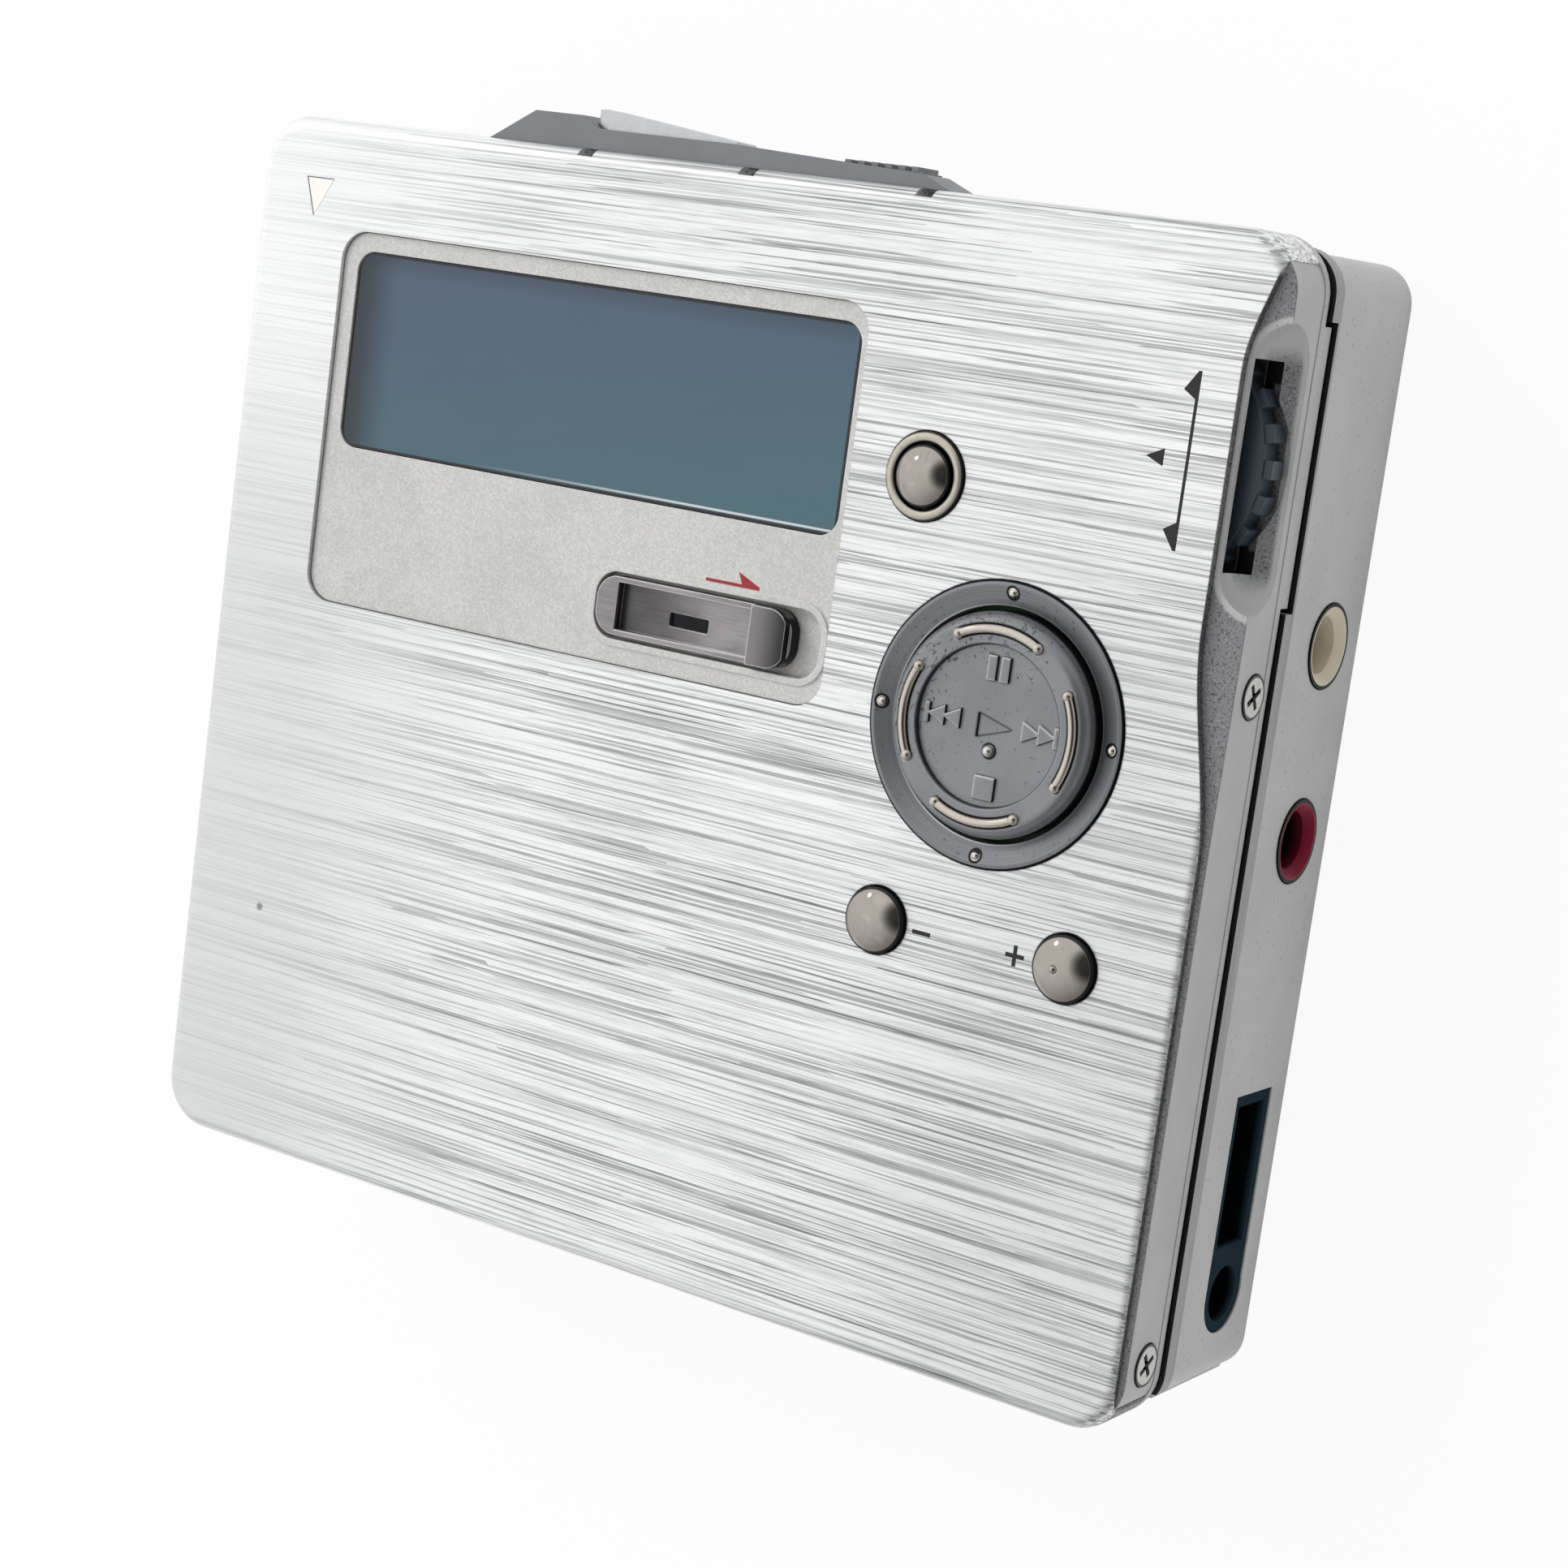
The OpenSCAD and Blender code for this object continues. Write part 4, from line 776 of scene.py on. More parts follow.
@dataclass(frozen=True)
class KeyFace(Finish):
    """Satin control key: speckled face, painted shade on its step and side, painted light and shade on its
    signs, and a bright touch dot.
    """

    name: str = "key_face"
    colour: str = "8a8c90"
    centre: Point = (24.25, 4.95, 17.8)
    step_r: float = 4.95
    dot: Point = (24.5, 3.45, 17.95)
    dot_r: float = 0.38
    arc_r: float = 5.85
    arc_slope: float = 0.56

    def paint(self, graph: Graph) -> None:
        """Shades the key by place, and its signs by the way that their walls face."""
        x, y, z = graph.axes(graph.place(centre=self.centre))
        radius = graph.length(x, y)
        sideways, along, up = graph.facing()
        # Painted light and shade: sign walls facing up and to the left are light, the others dark.
        wall = abs(up).fall(0.3, 0.6) * radius.fall(self.step_r - 0.05, self.step_r - 0.02)
        sign_wall_light = (along * 0.75 - sideways * 0.65).step(-0.1, 0.3)
        from_dot = graph.reach(self.dot, (1.0, 1.0, 0.0))
        dot = from_dot.fall(self.dot_r - 0.03, self.dot_r + 0.02)
        seat_shade = from_dot.fall(self.dot_r + 0.1, self.dot_r + 0.18)
        grain = graph.noise(9.0, 2.0)
        crowd = radius.step(self.step_r - 2.2, self.step_r) * (y - x).step(-1.0, 5.0) * 0.1
        speck = (graph.noise(3.0, 3.0, 0.75) + crowd).step(0.65, 0.7)
        cloud = graph.noise(0.35, 2.0)
        slim = graph.least(abs(x), abs(y))
        wide = graph.most(abs(x), abs(y))
        groove_shade = abs(radius - self.arc_r).fall(0.34, 0.44)
        groove_shade = groove_shade * (slim - wide * self.arc_slope).fall(0.0, 0.1)
        round_normal, edge = graph.edges(0.26)
        # Painted highlights on raised edges; painted shade at their feet, along the step, on the side, in
        # the groove round the arcs and round the dot.
        shade = graph.coats(self.colour, [
            (cloud.step(0.3, 0.7) * 0.25, "6c6f74"),
            (speck * 0.7, "2a2b2e"),
            (edge * z.step(0.06, 0.13) * 0.95, "f4f4f4"),
            (edge * z.fall(0.02, 0.07), "0c0d0e"),
            (wall, graph.mix(sign_wall_light, "17181a", "e6e6e6")),
            (abs(radius - self.step_r).fall(0.04, 0.1) * 0.8, "2c2d30"),
            (z.fall(-0.75, -0.45), "2b2c2f"),
            (groove_shade * z.step(0.1, 0.2), "141517"),
            (seat_shade * (1.0 - wall), "1b1c1e"),
            (dot, "d9d6d1")])
        graph.surface(
            Base_Color=shade, Metallic=0.7 + dot * 0.3, Roughness=0.31 + cloud * 0.08 - dot * 0.22,
            Normal=graph.bump(grain, 0.004, round_normal))


@dataclass(frozen=True)
class Dome(Finish):
    """Plated button: smoky bright dome with hair scratches, with painted shade round its foot."""

    name: str
    centre: Point
    radius: float
    colour: str = "a8a19b"

    def paint(self, graph: Graph) -> None:
        """Paints shade round the foot by the distance from the axis and smudges the gloss."""
        out = graph.reach(self.centre, (1, 1, 0))
        # Painted shade: the foot of the dome goes near black where it sits in its hole.
        foot_shade = out.step(self.radius - 0.17, self.radius - 0.1)
        smudge = graph.noise(1.1, 3.0)
        hair = graph.streaks((7.0, 0.8, 2.0), turn=(0, 0, 0.5))
        shade = graph.coats(self.colour, [
            (hair.step(0.58, 0.72) * 0.25, "6d6762"),
            (smudge.step(0.5, 0.75) * 0.3, "c8c3be"),
            (foot_shade, "101113")])
        graph.surface(
            Base_Color=shade, Metallic=1.0 - foot_shade * 0.8,
            Roughness=0.07 + smudge.step(0.4, 0.7) * 0.06 + foot_shade * 0.3,
            Normal=graph.bump(hair, 0.0008))


@dataclass(frozen=True)
class ScrewHead(Finish):
    """Steel head of a side screw, with painted shade in its cross and along the line where it meets its
    hole.
    """

    name: str = "screw_head"
    places: tuple[Spot, Spot] = ((9.3, 13.85), (-31.6, 14.1))
    radius: float = 1.35
    cross_from: float = 39.02
    cross_to: float = 39.14
    colour: str = "c2c1be"

    def paint(self, graph: Graph) -> None:
        """Tells the cross by its depth and the rim by the distance from the nearer screw's axis, and
        paints shade on both.
        """
        x, y, z = graph.axes(graph.place())
        out = graph.least(*(graph.length(y - side, z - high) for side, high in self.places))
        # Painted shade in the cross recess and in the gap round the head.
        rim = out.step(self.radius - 0.2, self.radius - 0.12)
        dark = graph.most(rim, x.fall(self.cross_from, self.cross_to))
        hair = graph.streaks((2.0, 6.0, 6.0))
        shade = graph.coats(self.colour, [
            (hair.step(0.5, 0.7) * 0.3, "7e7d7a"),
            (dark, "111213")])
        graph.surface(
            Base_Color=shade, Metallic=0.8 - dark * 0.6, Roughness=0.3 + hair * 0.1,
            Normal=graph.bump(hair, 0.004))


@dataclass(frozen=True)
class JackFace(Finish):
    """Moulded socket: coloured collar, with painted shade in the line round it and down its bore."""

    name: str
    colour: str
    along: float
    deep: float
    high: float = 4.4
    radius: float = 2.65
    face: float = 39.3
    front: float = 38.6

    def paint(self, graph: Graph) -> None:
        """Shades the collar by the distance from the socket's axis and the bore by its depth."""
        x, y, z = graph.axes(graph.place())
        out = graph.length(y - self.along, z - self.high)
        front = x.step(self.front, self.front + 0.1)
        # Painted shade: near black in the gap round the collar and down the bore.
        line = out.step(self.radius - 0.26, self.radius - 0.18) * front
        bore = out.fall(self.radius - 0.5, self.radius - 0.4)
        depth = x.step(self.face - self.deep, self.face - 0.05, 0.96, 0.0) * bore
        grain = graph.noise(7.0, 3.0, 0.6)
        cloud = graph.noise(0.4, 2.0)
        worn = scaled(self.colour, 0.7)
        shade = graph.coats(self.colour, [
            (cloud.step(0.35, 0.7) * 0.3, worn),
            (graph.most(line, depth), "080808")])
        graph.surface(Base_Color=shade, Roughness=0.36 + grain * 0.12, Specular_IOR_Level=0.1,
                      Normal=graph.bump(grain, 0.006))


@dataclass(frozen=True)
class Collar(Finish):
    """Champagne ring round a button, with painted shade along both edges."""

    name: str
    centre: Point
    inner: float
    outer: float
    colour: str = "c3bdb0"

    def paint(self, graph: Graph) -> None:
        """Paints shade along the edges and speckles the crest."""
        out = graph.reach(self.centre, (1, 1, 0))
        hole = out.fall(self.inner + 0.1, self.inner + 0.2)
        # Painted shade in the gaps at the button and at the plate.
        line = graph.most(hole, out.step(self.outer - 0.16, self.outer - 0.08))
        grain = graph.noise(5.0, 3.0, 0.7)
        shade = graph.coats(self.colour, [
            (grain.step(0.55, 0.7) * 0.5, "8d877b"),
            (line, "1e1d1b")])
        graph.surface(
            Base_Color=shade, Metallic=0.7, Roughness=0.28 + grain * 0.15, Normal=graph.bump(grain, 0.006))


@dataclass(frozen=True)
class SlidePiece(Finish):
    """Satin slide of the record switch: drawn floor, painted highlights on its lips, painted light and
    shade on its grip and tray.
    """

    name: str = "slide_satin"
    colour: str = "8f8b8c"
    grip_z: float = 16.22
    floor_z: float = 16.5
    grip_top: float = 16.92
    floor_from: float = -6.4
    floor_to: float = 6.0
    grip_to: float = 8.9

    def paint(self, graph: Graph) -> None:
        """Tells grip, floor and lips apart by their height, and paints light and shade on them."""
        x, _, z = graph.axes(graph.place())
        line = graph.streaks((0.3, 7.0, 5.0), 3.0, 0.6)
        cloud = graph.streaks((0.25, 0.5, 1.0), 2.0)
        round_normal, edge = graph.edges(0.16)
        # Painted light: the grip's top goes from light at its left to dark at its right.
        grip = x.step(self.floor_to - 0.05, self.floor_to + 0.05)
        grip = grip * z.step(self.grip_top, self.grip_top + 0.08)
        grip_light = graph.mix(x.step(self.floor_to, self.grip_to), "858182", "313032")
        nub_foot_shade = abs(x - self.floor_to + 0.14).fall(0.08, 0.16) * (1.0 - grip)
        end = x.step(self.grip_to - 0.5, self.grip_to - 0.4)
        end = end * graph.facing()[0].step(0.6, 0.8)
        deep = x.step(self.floor_from + 1.6, self.floor_to, 0.75, 0.0)
        # Painted highlights on the edges; painted shade at the nub's foot, on its right end, deep in the
        # tray and on the grip recess floor.
        shade = graph.coats(self.colour, [
            (line.step(0.4, 0.7) * 0.35, "5f5c5e"),
            (cloud.step(0.35, 0.65) * 0.35, "b7b0b0"),
            (grip, grip_light),
            (nub_foot_shade * 0.8, "1c1c1e"),
            (edge * 0.95, "ffffff"),
            (end, "121214"),
            (deep * z.fall(self.floor_z, self.floor_z + 0.25), "2a2b2e"),
            (z.fall(self.grip_z, self.grip_z + 0.04), "1d1e20")])
        graph.surface(
            Base_Color=shade, Metallic=0.8 - edge * 0.5, Roughness=0.26 + line * 0.12 - edge * 0.08,
            Normal=graph.bump(line, 0.003, round_normal))


@dataclass(frozen=True)
class BeltBand(Finish):
    """Matte band round the case, with painted shade on its top face under the lid's gap."""

    name: str = "belt_band"
    colour: str = "a3a4a3"
    top: float = 11.7
    notch: float = 22.75
    notch_half: float = 8.9
    notch_x: float = 37.0

    def paint(self, graph: Graph) -> None:
        """Paints shade on the upper face, and mottles and wears the outer one."""
        x, y, z = graph.axes(graph.place())
        up = graph.facing()[2]
        notch = abs(y - self.notch).fall(self.notch_half, self.notch_half + 0.1)
        notch = notch * x.step(self.notch_x, self.notch_x + 0.1)
        high = graph.most(notch, z.step(self.top - 0.15, self.top - 0.05))
        # Painted shade: the upper face goes near black to widen the dark gap line under the lid.
        gap_shade = up.step(0.5, 0.8) * high
        grain = graph.noise(7.0, 3.0)
        worn = graph.streaks((0.15, 0.15, 2.0))
        round_normal, edge = graph.edges(0.08)
        shade = graph.coats(self.colour, [
            (worn.step(0.4, 0.7) * 0.3, "7f8181"),
            (edge * 0.3, "d0d0ce"),
            (gap_shade, "0c0d0e")])
        graph.surface(
            Base_Color=shade, Metallic=0.25 - gap_shade * 0.25, Roughness=0.44 + grain * 0.12,
            Normal=graph.bump(grain, 0.005, round_normal))


BRUSHED = BrushedSheet()
FRAME = BlastedFrame()
CASE = Coated("case_paint", "c8c9c8", rough=0.46, metal=0.12, grain=8.0, dots=0.35)
BELT = BeltBand()
STEEL = Drawn("bare_steel", "a8a8a6", rough=0.32, contrast=0.2)
PRESSED = Drawn("pressed_sheet", "b4b6b6", rough=0.38, stretch=(5.0, 0.5, 5.0), contrast=0.15)
SCREW = Polished("screw_steel", "b9b7b2", rough=0.24)
SIDE_SCREW = ScrewHead()
BLACK_MOULD = Coated("black_mould", "232426", rough=0.5)
CHIP = Coated("chip_epoxy", "1c1d20", rough=0.55, grain=10.0)
MOTOR = Drawn("motor_can", "a9a49a", rough=0.3, stretch=(0.5, 6.0, 6.0))
PICKUP = Coated("pickup_block", "3b3f46", rough=0.42, metal=0.4)
BOARD = CircuitBoard()
CELL = Wrapped()
CONTACT = Polished("contact_gilt", "d9b56a", rough=0.2)
CREAM = JackFace("jack_cream", "f7eed8", 12.1, 8.0)
MAROON = JackFace("jack_maroon", "8c1e38", 0.0, 1.5)
# The remote and DC sockets get painted shade down their bores.
DARK = Coated("jack_dark", "2c3d46", rough=0.5, wear=0.3, bore=39.07, bore_shade_l=0.5, gloss=0.0)
AMBER = Coated("jack_amber", "c08a34", rough=0.4, bore=39.0)
BEZEL = Sparkle("bezel_paint", "cecdca", rough=0.46, metal=0.15, flakes=8.0, spread=0.2)
PANE = WindowPane()
PANEL = DisplayPanel()
# Its dark slope hue is painted shade round the crest.
LIGHT = Lens("indicator_glass", "fdfaf3", "4a4744", rough=0.16)
OPTIC = Lens("objective_glass", "3a4a86", "4a2f66")
RING = TurnedRing("ring_gunmetal", "85878b", (24.25, 4.95, 17.1), 7.2, 8.75, 8.025, 0.32)
KEY = KeyFace()
BRIGHT = Polished("bright_plating", "c9c0b6", rough=0.14)
BAR = Polished("bar_plating", "c3c6c8", rough=0.25)
GROUP_DOME = Dome("group_plating", (17.05, 18.95, 17.1), 1.9)
LESS_DOME = Dome("volume_down_plating", (17.98, -8.48, 17.1), 2.05)
MORE_DOME = Dome("volume_up_plating", (31.35, -8.48, 17.1), 2.05)
COLLAR = Collar("collar_champagne", (17.05, 18.95, 17.1), 2.0, 2.75)
SLIDER = SlidePiece()
HOUSING = Coated("housing_paint", "7d7f83", rough=0.45, metal=0.2)
JOG = Coated("jog_rubber", "36424c", rough=0.42, metal=0.1, wear=0.5)
# Black strip standing in for the shade in the gap under the lid.
SHADE_STRIP_RUBBER = Coated("shade_strip_rubber", "121314", rough=0.6)
SWITCH = Coated("switch_resin", "c9c4b6", rough=0.5)
SIGN_GRAY = Ink("sign_gray", "1e1e20", "0c0c0d")
SIGN_RED = Ink("sign_red", "a02a34", "74161e")


def dress(finish: Finish, *nodes: str) -> None:
    """Gives carried-over solids a finish.

    Args:
        finish: The finish.
        nodes: Names of the solids.
    """
    for name in nodes:
        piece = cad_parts[name]
        if not piece.material_slots:
            piece.data.materials.append(finish.material())
        for place in piece.material_slots:
            place.material = finish.material()
        LOG.info("dressed %s in %s", name, finish.name)


class Bench:
    """Hand tools for new pieces: each leaves one mesh object at the origin, selected and active."""

    @staticmethod
    def clear() -> None:
        """Deselects everything in object mode."""
        if bpy.context.object is not None and bpy.context.object.mode != "OBJECT":
            bpy.ops.object.mode_set(mode="OBJECT")
        bpy.ops.object.select_all(action="DESELECT")

    @staticmethod
    def settle(piece: bpy.types.Object) -> bpy.types.Object:
        """Moves a piece's place into its mesh."""
        Bench.clear()
        piece.select_set(True)
        bpy.context.view_layer.objects.active = piece
        bpy.ops.object.transform_apply(location=True, rotation=True, scale=True)
        return piece

    @staticmethod
    def leaf(low: Row, high: Row, z: float) -> bpy.types.Object:
        """Adds a flat rectangle and leaves it in edit mode with all of it selected.

        Args:
            low: Lower X and Y in millimetres.
            high: Upper X and Y in millimetres.
            z: Height in millimetres.

        Returns:
            The new object.
        """
        Bench.clear()
        middle = [(low[0] + high[0]) / 2 * MM, (low[1] + high[1]) / 2 * MM, z * MM]
        bpy.ops.mesh.primitive_plane_add(size=1.0, location=middle)
        piece = bpy.context.object
        bpy.ops.object.mode_set(mode="EDIT")
        bpy.ops.mesh.select_all(action="SELECT")
        bpy.ops.transform.resize(value=((high[0] - low[0]) * MM, (high[1] - low[1]) * MM, 1.0))
        return piece

    @staticmethod
    def trim(through: Row, towards: Row) -> None:
        """Cuts the piece in edit mode by an upright plane and drops what lies beyond it.

        Args:
            through: X and Y of a point of the plane in millimetres.
            towards: X and Y of the direction of what is dropped.
        """
        bpy.ops.mesh.select_all(action="SELECT")
        bpy.ops.mesh.bisect(
            plane_co=(through[0] * MM, through[1] * MM, 0), plane_no=(towards[0], towards[1], 0),
            clear_outer=True, clear_inner=False, threshold=1e-7)

    @staticmethod
    def choose(piece: bpy.types.Object, test: Callable[[Vector], bool]) -> None:
        """Selects the faces of the piece in edit mode that pass a test.

        Args:
            piece: The piece.
            test: Tells from a face's middle, in millimetres, whether it is wanted.
        """
        bpy.ops.mesh.select_mode(type="FACE")
        bpy.ops.mesh.select_all(action="DESELECT")
        bpy.ops.object.mode_set(mode="OBJECT")
        for face in piece.data.polygons:
            face.select = test((piece.location + face.center) / MM)
        bpy.ops.object.mode_set(mode="EDIT")

    @staticmethod
    def raise_print(thickness: float) -> None:
        """Gives the flat sign in edit mode its film of ink."""
        bpy.ops.mesh.select_all(action="SELECT")
        bpy.ops.mesh.extrude_region_move(TRANSFORM_OT_translate={"value": (0, 0, thickness * MM)})
        bpy.ops.mesh.select_all(action="SELECT")
        bpy.ops.mesh.normals_make_consistent(inside=False)
        bpy.ops.object.mode_set(mode="OBJECT")

    @staticmethod
    def join(name: str, parts: Sequence[bpy.types.Object]) -> bpy.types.Object:
        """Makes several objects into one piece.

        Args:
            name: Name of the piece.
            parts: The objects.

        Returns:
            The joined piece at the origin.
        """
        Bench.clear()
        for part in parts:
            part.select_set(True)
        bpy.context.view_layer.objects.active = parts[0]
        if len(parts) > 1:
            bpy.ops.object.join()
        piece = bpy.context.object
        piece.name = name
        piece.data.name = name
        return Bench.settle(piece)

    @staticmethod
    def hand_over(piece: bpy.types.Object, finish: Finish, body: str, slot: str) -> None:
        """Dresses a finished piece and sets it on its body.

        Args:
            piece: The piece.
            finish: Its finish.
            body: Body that carries it.
            slot: Material slot of the record; not used.
        """
        piece.data.materials.clear()
        piece.data.materials.append(finish.material())
        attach(piece, body)
        LOG.info("made %s on %s", piece.name, body)


@dataclass
class LowerCase:
    """Painted lower shell with its belt, screws, hinge pins, and a black strip on the belt that stands in
    for the shade in the lid's gap.
    """

    shade_strip_half: Spot = (39.1, 35.1)
    shade_strip_corner: float = 2.6
    shade_strip_w: float = 0.5
    shade_strip_z: float = 11.69
    shade_strip_h: float = 0.24
    open_at: Spot = (13.9, 31.6)
    hinge_end: float = -31.0

    def shade_strip(self) -> None:
        """Models the black strip that stands in for shade in the lid's gap: a rounded band, cut open at
        the jog wheel and along the hinge, then raised.
        """
        x, y = self.shade_strip_half
        piece = Bench.leaf((-x, -y), (x, y), self.shade_strip_z)
        bpy.ops.mesh.bevel(offset=self.shade_strip_corner * MM, segments=8, affect="VERTICES")
        bpy.ops.mesh.select_all(action="SELECT")
        bpy.ops.mesh.inset(thickness=self.shade_strip_w * MM)
        bpy.ops.mesh.delete(type="FACE")
        Bench.trim((0, self.hinge_end), (0, -1))
        for cut in self.open_at:
            bpy.ops.mesh.select_all(action="SELECT")
            bpy.ops.mesh.bisect(plane_co=(0, cut * MM, 0), plane_no=(0, 1, 0), threshold=1e-7)
        Bench.choose(piece, lambda c: c.x > 0 and self.open_at[0] < c.y < self.open_at[1])
        bpy.ops.mesh.delete(type="FACE")
        Bench.raise_print(self.shade_strip_h)
        # Painted shade: the black strip darkens the gap between lid and belt.
        Bench.hand_over(Bench.join("lid_shade_strip", [piece]), SHADE_STRIP_RUBBER, "case", "jack_dark")

    def dress(self) -> None:
        """Paints the shell and its trim."""
        dress(CASE, "bottom_case", "battery_door")
        dress(BELT, "trim_belt")
        dress(SCREW, "case_screws")
        dress(SIDE_SCREW, "side_screws")
        dress(STEEL, "hinge_pins")
        self.shade_strip()


@dataclass
class DiscDrive:
    """Boards, chassis, motors, pickup and the holder of the disc."""

    def dress(self) -> None:
        """Finishes what shows when the lid is open."""
        dress(BOARD, "main_board", "control_board")
        dress(CHIP, "board_chips")
        dress(PRESSED, "chassis", "disc_holder")
        dress(MOTOR, "spindle_motor", "sled_motor", "turntable")
        dress(STEEL, "guide_shafts", "lead_screw", "overwrite_head")
        dress(PICKUP, "pickup_sled")
        dress(OPTIC, "objective_lens")
        dress(CELL, "battery")
        dress(CONTACT, "battery_contacts")
        dress(SWITCH, "tact_switches")


@dataclass
class Sockets:
    """Coloured sockets along the sides."""

    def dress(self) -> None:
        """Gives each socket its own moulded colour."""
        dress(CREAM, "line_in_jack")
        dress(MAROON, "mic_jack")
        dress(DARK, "remote_jack")
        dress(AMBER, "dc_jack")


@dataclass
class Lid:
    """Brushed plate on its blasted frame, with the display."""

    def dress(self) -> None:
        """Finishes the plate, the frame and the display."""
        dress(BRUSHED, "front_plate")
        dress(FRAME, "lid_frame")
        dress(BEZEL, "display_bezel")
        dress(PANE, "display_window")
        dress(PANEL, "lcd_module")
        dress(LIGHT, "indicator_lens")


@dataclass
class Controls:
    """Keys, sliders and the jog wheel."""

    def dress(self) -> None:
        """Finishes each control."""
        dress(SLIDER, "rec_slider")
        dress(GROUP_DOME, "group_button")
        dress(LESS_DOME, "volume_down_button")
        dress(MORE_DOME, "volume_up_button")
        dress(COLLAR, "group_collar")
        dress(BRIGHT, "key_arcs")
        dress(RING, "dial_ring")
        dress(KEY, "control_key")
        dress(BLACK_MOULD, "key_plunger", "key_rocker", "jog_carrier")
        dress(STEEL, "jog_pin")
        dress(JOG, "jog_wheel")
        dress(HOUSING, "top_housing", "open_slider")
        dress(BAR, "mark_button")


class Sign(Enum):
    """Generic signs printed on the lid."""

    JOG_ARROW = "jog_arrow_print"
    PUSH_MARK = "push_mark_print"
    LESS = "less_print"
    MORE = "more_print"
    SLIDE_ARROW = "slide_arrow_print"


@dataclass
class Prints:
    """Signs in ink on the plate and the bezel, each a thin film on the face that it is printed on."""

    film: float = 0.012
    line: float = 0.2
    jog_x: float = 34.28
    jog_low: float = 17.14
    jog_high: float = 27.58
    head_l: float = 1.65
    head_w: float = 0.8
    wing_l: float = 1.15
    less_at: Spot = (21.26, -8.6)
    more_at: Spot = (27.88, -8.5)
    push_tip: Spot = (31.6, 22.35)
    push_wing: Spot = (32.75, 22.9)
    push_root: Spot = (32.75, 21.85)
    mark_l: float = 1.3
    mark_w: float = 0.26
    red_from: Spot = (1.85, 10.15)
    red_to: float = 6.0
    red_wing: Spot = (1.7, 0.75)
    red_root: float = 1.35
    bezel_z: float = 16.8

    def bar(self, low: Row, high: Row, z: float) -> bpy.types.Object:
        """Prints a plain bar.

        Args:
            low: Lower X and Y in millimetres.
            high: Upper X and Y in millimetres.
            z: Height of the printed face.

        Returns:
            The bar.
        """
        piece = Bench.leaf(low, high, z)
        Bench.raise_print(self.film)
        return piece

    def barb(self, tip: Row, wing: Row, root: Row, z: float) -> bpy.types.Object:
        """Prints a barb: a rectangle cut along the three lines between the barb's corners.

        Args:
            tip: X and Y of the sharp corner, in millimetres.
            wing: X and Y of the outer corner.
            root: X and Y of the corner where the barb leaves the line.
            z: Height of the printed face.

        Returns:
            The barb.
        """
        corners = [Vector(tip), Vector(wing), Vector(root)]
        low = [min(c[i] for c in corners) for i in (0, 1)]
        high = [max(c[i] for c in corners) for i in (0, 1)]
        piece = Bench.leaf(low, high, z)
        middle = (corners[0] + corners[1] + corners[2]) / 3
        for start, end in zip(corners, corners[1:] + corners[:1]):
            along = end - start
            away = Vector((-along.y, along.x)).normalized()
            Bench.trim(start, away if away.dot(middle - start) < 0 else -away)
        Bench.raise_print(self.film)
        return piece

    def make(self, sign: Sign) -> None:
        """Makes one sign and sets it on the lid.

        Args:
            sign: The sign.
        """
        half = self.line / 2
        finish: Finish = SIGN_GRAY
        if sign is Sign.JOG_ARROW:
            edge = self.jog_x - half
            side = edge - self.head_w
            parts = [self.bar((edge, self.jog_low), (self.jog_x + half, self.jog_high), FACE_Z)]
            for tip, back in ((self.jog_high, -1), (self.jog_low, 1)):
                parts.append(self.barb((edge, tip), (side, tip + back * self.wing_l),
                                       (edge, tip + back * self.head_l), FACE_Z))
        elif sign is Sign.PUSH_MARK:
            parts = [self.barb(self.push_tip, self.push_wing, self.push_root, FACE_Z)]
        elif sign in (Sign.LESS, Sign.MORE):
            x, y = self.less_at if sign is Sign.LESS else self.more_at
            reach, thin = self.mark_l / 2, self.mark_w / 2
            parts = [self.bar((x - reach, y - thin), (x + reach, y + thin), FACE_Z)]
            if sign is Sign.MORE:
                parts.append(self.bar((x - thin, y + thin), (x + thin, y + reach), FACE_Z))
                parts.append(self.bar((x - thin, y - reach), (x + thin, y - thin), FACE_Z))
        else:
            x, y = self.red_from
            finish = SIGN_RED
            top = y + half
            wing = (self.red_to - self.red_wing[0], top + self.red_wing[1])
            root = (self.red_to - self.red_root, top)
            parts = [
                self.bar((x, y - half), (self.red_to, top), self.bezel_z),
                self.barb((self.red_to, top), wing, root, self.bezel_z)]
        slot = "indicator" if finish is SIGN_RED else "board"
        Bench.hand_over(Bench.join(sign.value, parts), finish, "lid", slot)

    def build(self) -> None:
        """Prints every sign."""
        for sign in Sign:
            self.make(sign)


@dataclass(frozen=True)
class Softbox:
    """A square lamp: direction from the recorder, distance and side in metres, and power in watts."""

    name: str
    towards: Point
    distance: float
    size: float
    power: float
    mirrored: bool = False

    def hang(self) -> None:
        """Hangs the lamp facing the recorder, and hides it from bright metal unless it is mirrored."""
        data = bpy.data.lights.new(self.name, "AREA")
        data.size = self.size
        data.energy = self.power
        lamp = bpy.data.objects.new(self.name, data)
        bpy.context.scene.collection.objects.link(lamp)
        lamp.visible_glossy = self.mirrored
        way = Vector(self.towards).normalized()
        turn = way.to_track_quat("Z", "Y").to_matrix().to_4x4()
        lamp.matrix_world = Matrix.Translation(way * self.distance) @ turn


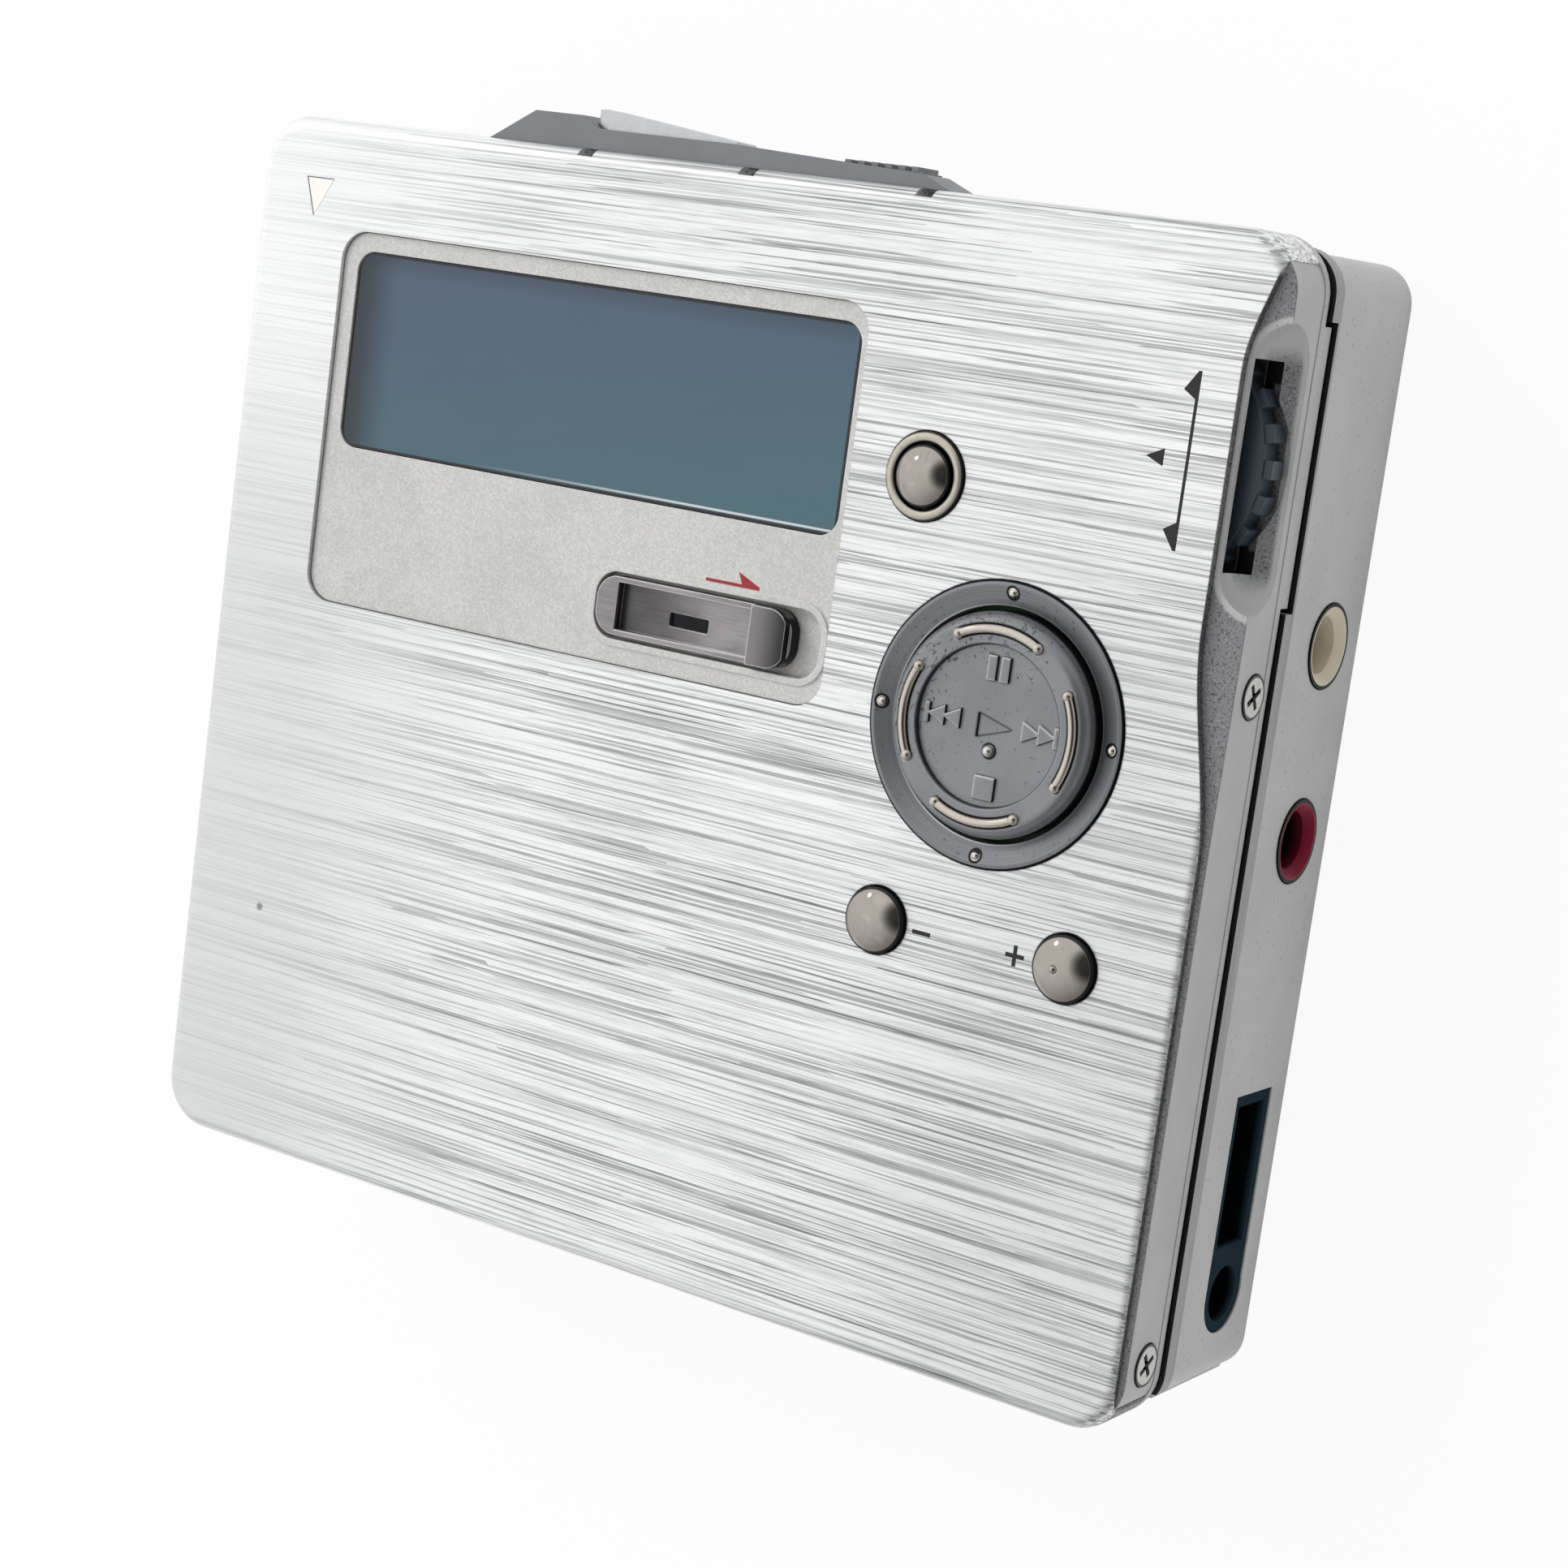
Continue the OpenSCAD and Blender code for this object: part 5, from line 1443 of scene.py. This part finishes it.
@dataclass
class Studio:
    """White floor, soft light from the far left, and the camera of the photograph."""

    place: Point = (118.295, 30.690, 187.438)
    aim: Point = (9.947, -1.536, 17.1)
    roll: float = -96.207
    lens: float = 74.82
    sensor: float = 36.0
    nearest: float = 0.005
    floor_size: float = 6.0
    floor_glow: float = 0.92
    sky_from: Point = (-0.66, 0.42, 0.62)
    sky_span: Span = (-0.55, 0.95)
    sky_low: float = 0.16
    sky_high: float = 1.1
    dim_span: Span = (0.74, 0.97)
    dim_to: float = 0.1
    lamps: tuple[Softbox, ...] = (
        Softbox("key_softbox", (-0.66, 0.50, 0.60), 0.75, 0.35, 1.85),
        Softbox("spark_softbox", (-0.66, 0.50, 0.60), 0.68, 0.07, 0.09, mirrored=True),
        Softbox("fill_softbox", (0.5, -0.6, 0.75), 0.9, 1.5, 2.6))

    def camera(self) -> None:
        """Sets up the camera."""
        data = bpy.data.cameras.new("photo_camera")
        data.lens = self.lens
        data.sensor_width = self.sensor
        data.clip_start = self.nearest
        view = bpy.data.objects.new("photo_camera", data)
        bpy.context.scene.collection.objects.link(view)
        place = Vector(self.place) * MM
        look = (Vector(self.aim) * MM - place).to_track_quat("-Z", "Y").to_matrix()
        turn = (look @ Matrix.Rotation(math.radians(self.roll), 3, "Z")).to_4x4()
        view.matrix_world = Matrix.Translation(place) @ turn
        bpy.context.scene.camera = view

    def floor(self) -> None:
        """Lays the floor, which reads as white and keeps a soft shadow."""
        Bench.clear()
        bpy.ops.mesh.primitive_plane_add(size=self.floor_size, location=(0, 0, 0))
        floor = bpy.context.object
        floor.name = "floor"
        paper = bpy.data.materials.new("floor_paper")
        paper.use_nodes = True
        graph = Graph(paper.node_tree)
        path = graph.node("ShaderNodeLightPath")
        seen = graph.out(path, "Is Camera Ray") + graph.out(path, "Is Transmission Ray")
        seen = graph.least(seen + graph.out(path, "Is Glossy Ray"), 1.0)
        fibre = graph.noise(0.05, 3.0)
        white = graph.mix(fibre * 0.1, "f4f4f4", "e8e8e8")
        sheet = graph.node("ShaderNodeBsdfDiffuse", None, {"Color": white})
        glow = graph.node("ShaderNodeEmission", None, {"Color": (1, 1, 1, 1), "Strength": 1.0})
        both = graph.node("ShaderNodeMixShader", None, {
            0: seen * self.floor_glow, 1: graph.out(sheet), 2: graph.out(glow)})
        graph.node("ShaderNodeOutputMaterial", None, {"Surface": graph.out(both)})
        floor.data.materials.append(paper)

    def sky(self) -> None:
        """Fills the room with soft light, bright far left and dim behind the camera, before white."""
        world = bpy.data.worlds.new("studio")
        bpy.context.scene.world = world
        world.use_nodes = True
        graph = Graph(world.node_tree)
        way = graph.out(graph.node("ShaderNodeTexCoord"), "Generated")
        glow = graph.dot(way, self.sky_from).step(*self.sky_span, self.sky_low, self.sky_high)
        behind = Vector(self.place).normalized()
        glow = glow * graph.dot(way, behind).step(*self.dim_span, 1.0, self.dim_to)
        path = graph.node("ShaderNodeLightPath")
        up = graph.axes(way)[2]
        low = up.fall(0.02, 0.2) * up.step(-0.4, -0.05, 0.4, 1.0)
        mirrored = graph.out(path, "Is Glossy Ray") * low
        seen = graph.out(path, "Is Camera Ray") + graph.out(path, "Is Transmission Ray") + mirrored
        level = graph.mix(graph.least(seen, 1.0), glow, (1, 1, 1, 1))
        back = graph.node("ShaderNodeBackground", None, {"Color": level, "Strength": 1.0})
        graph.node("ShaderNodeOutputWorld", None, {"Surface": graph.out(back)})

    def build(self) -> None:
        """Sets up the whole studio."""
        self.camera()
        self.floor()
        self.sky()
        for lamp in self.lamps:
            lamp.hang()
        bpy.context.scene.view_settings.view_transform = "Standard"


def main() -> None:
    """Builds the recorder's pieces in order, then the studio."""
    logging.basicConfig(level=logging.INFO, format="%(message)s")
    for part in (LowerCase(), DiscDrive(), Sockets(), Lid(), Controls()):
        part.dress()
        LOG.info("finished %s", type(part).__name__)
    Prints().build()
    Studio().build()


if __name__ == "__main__":
    main()
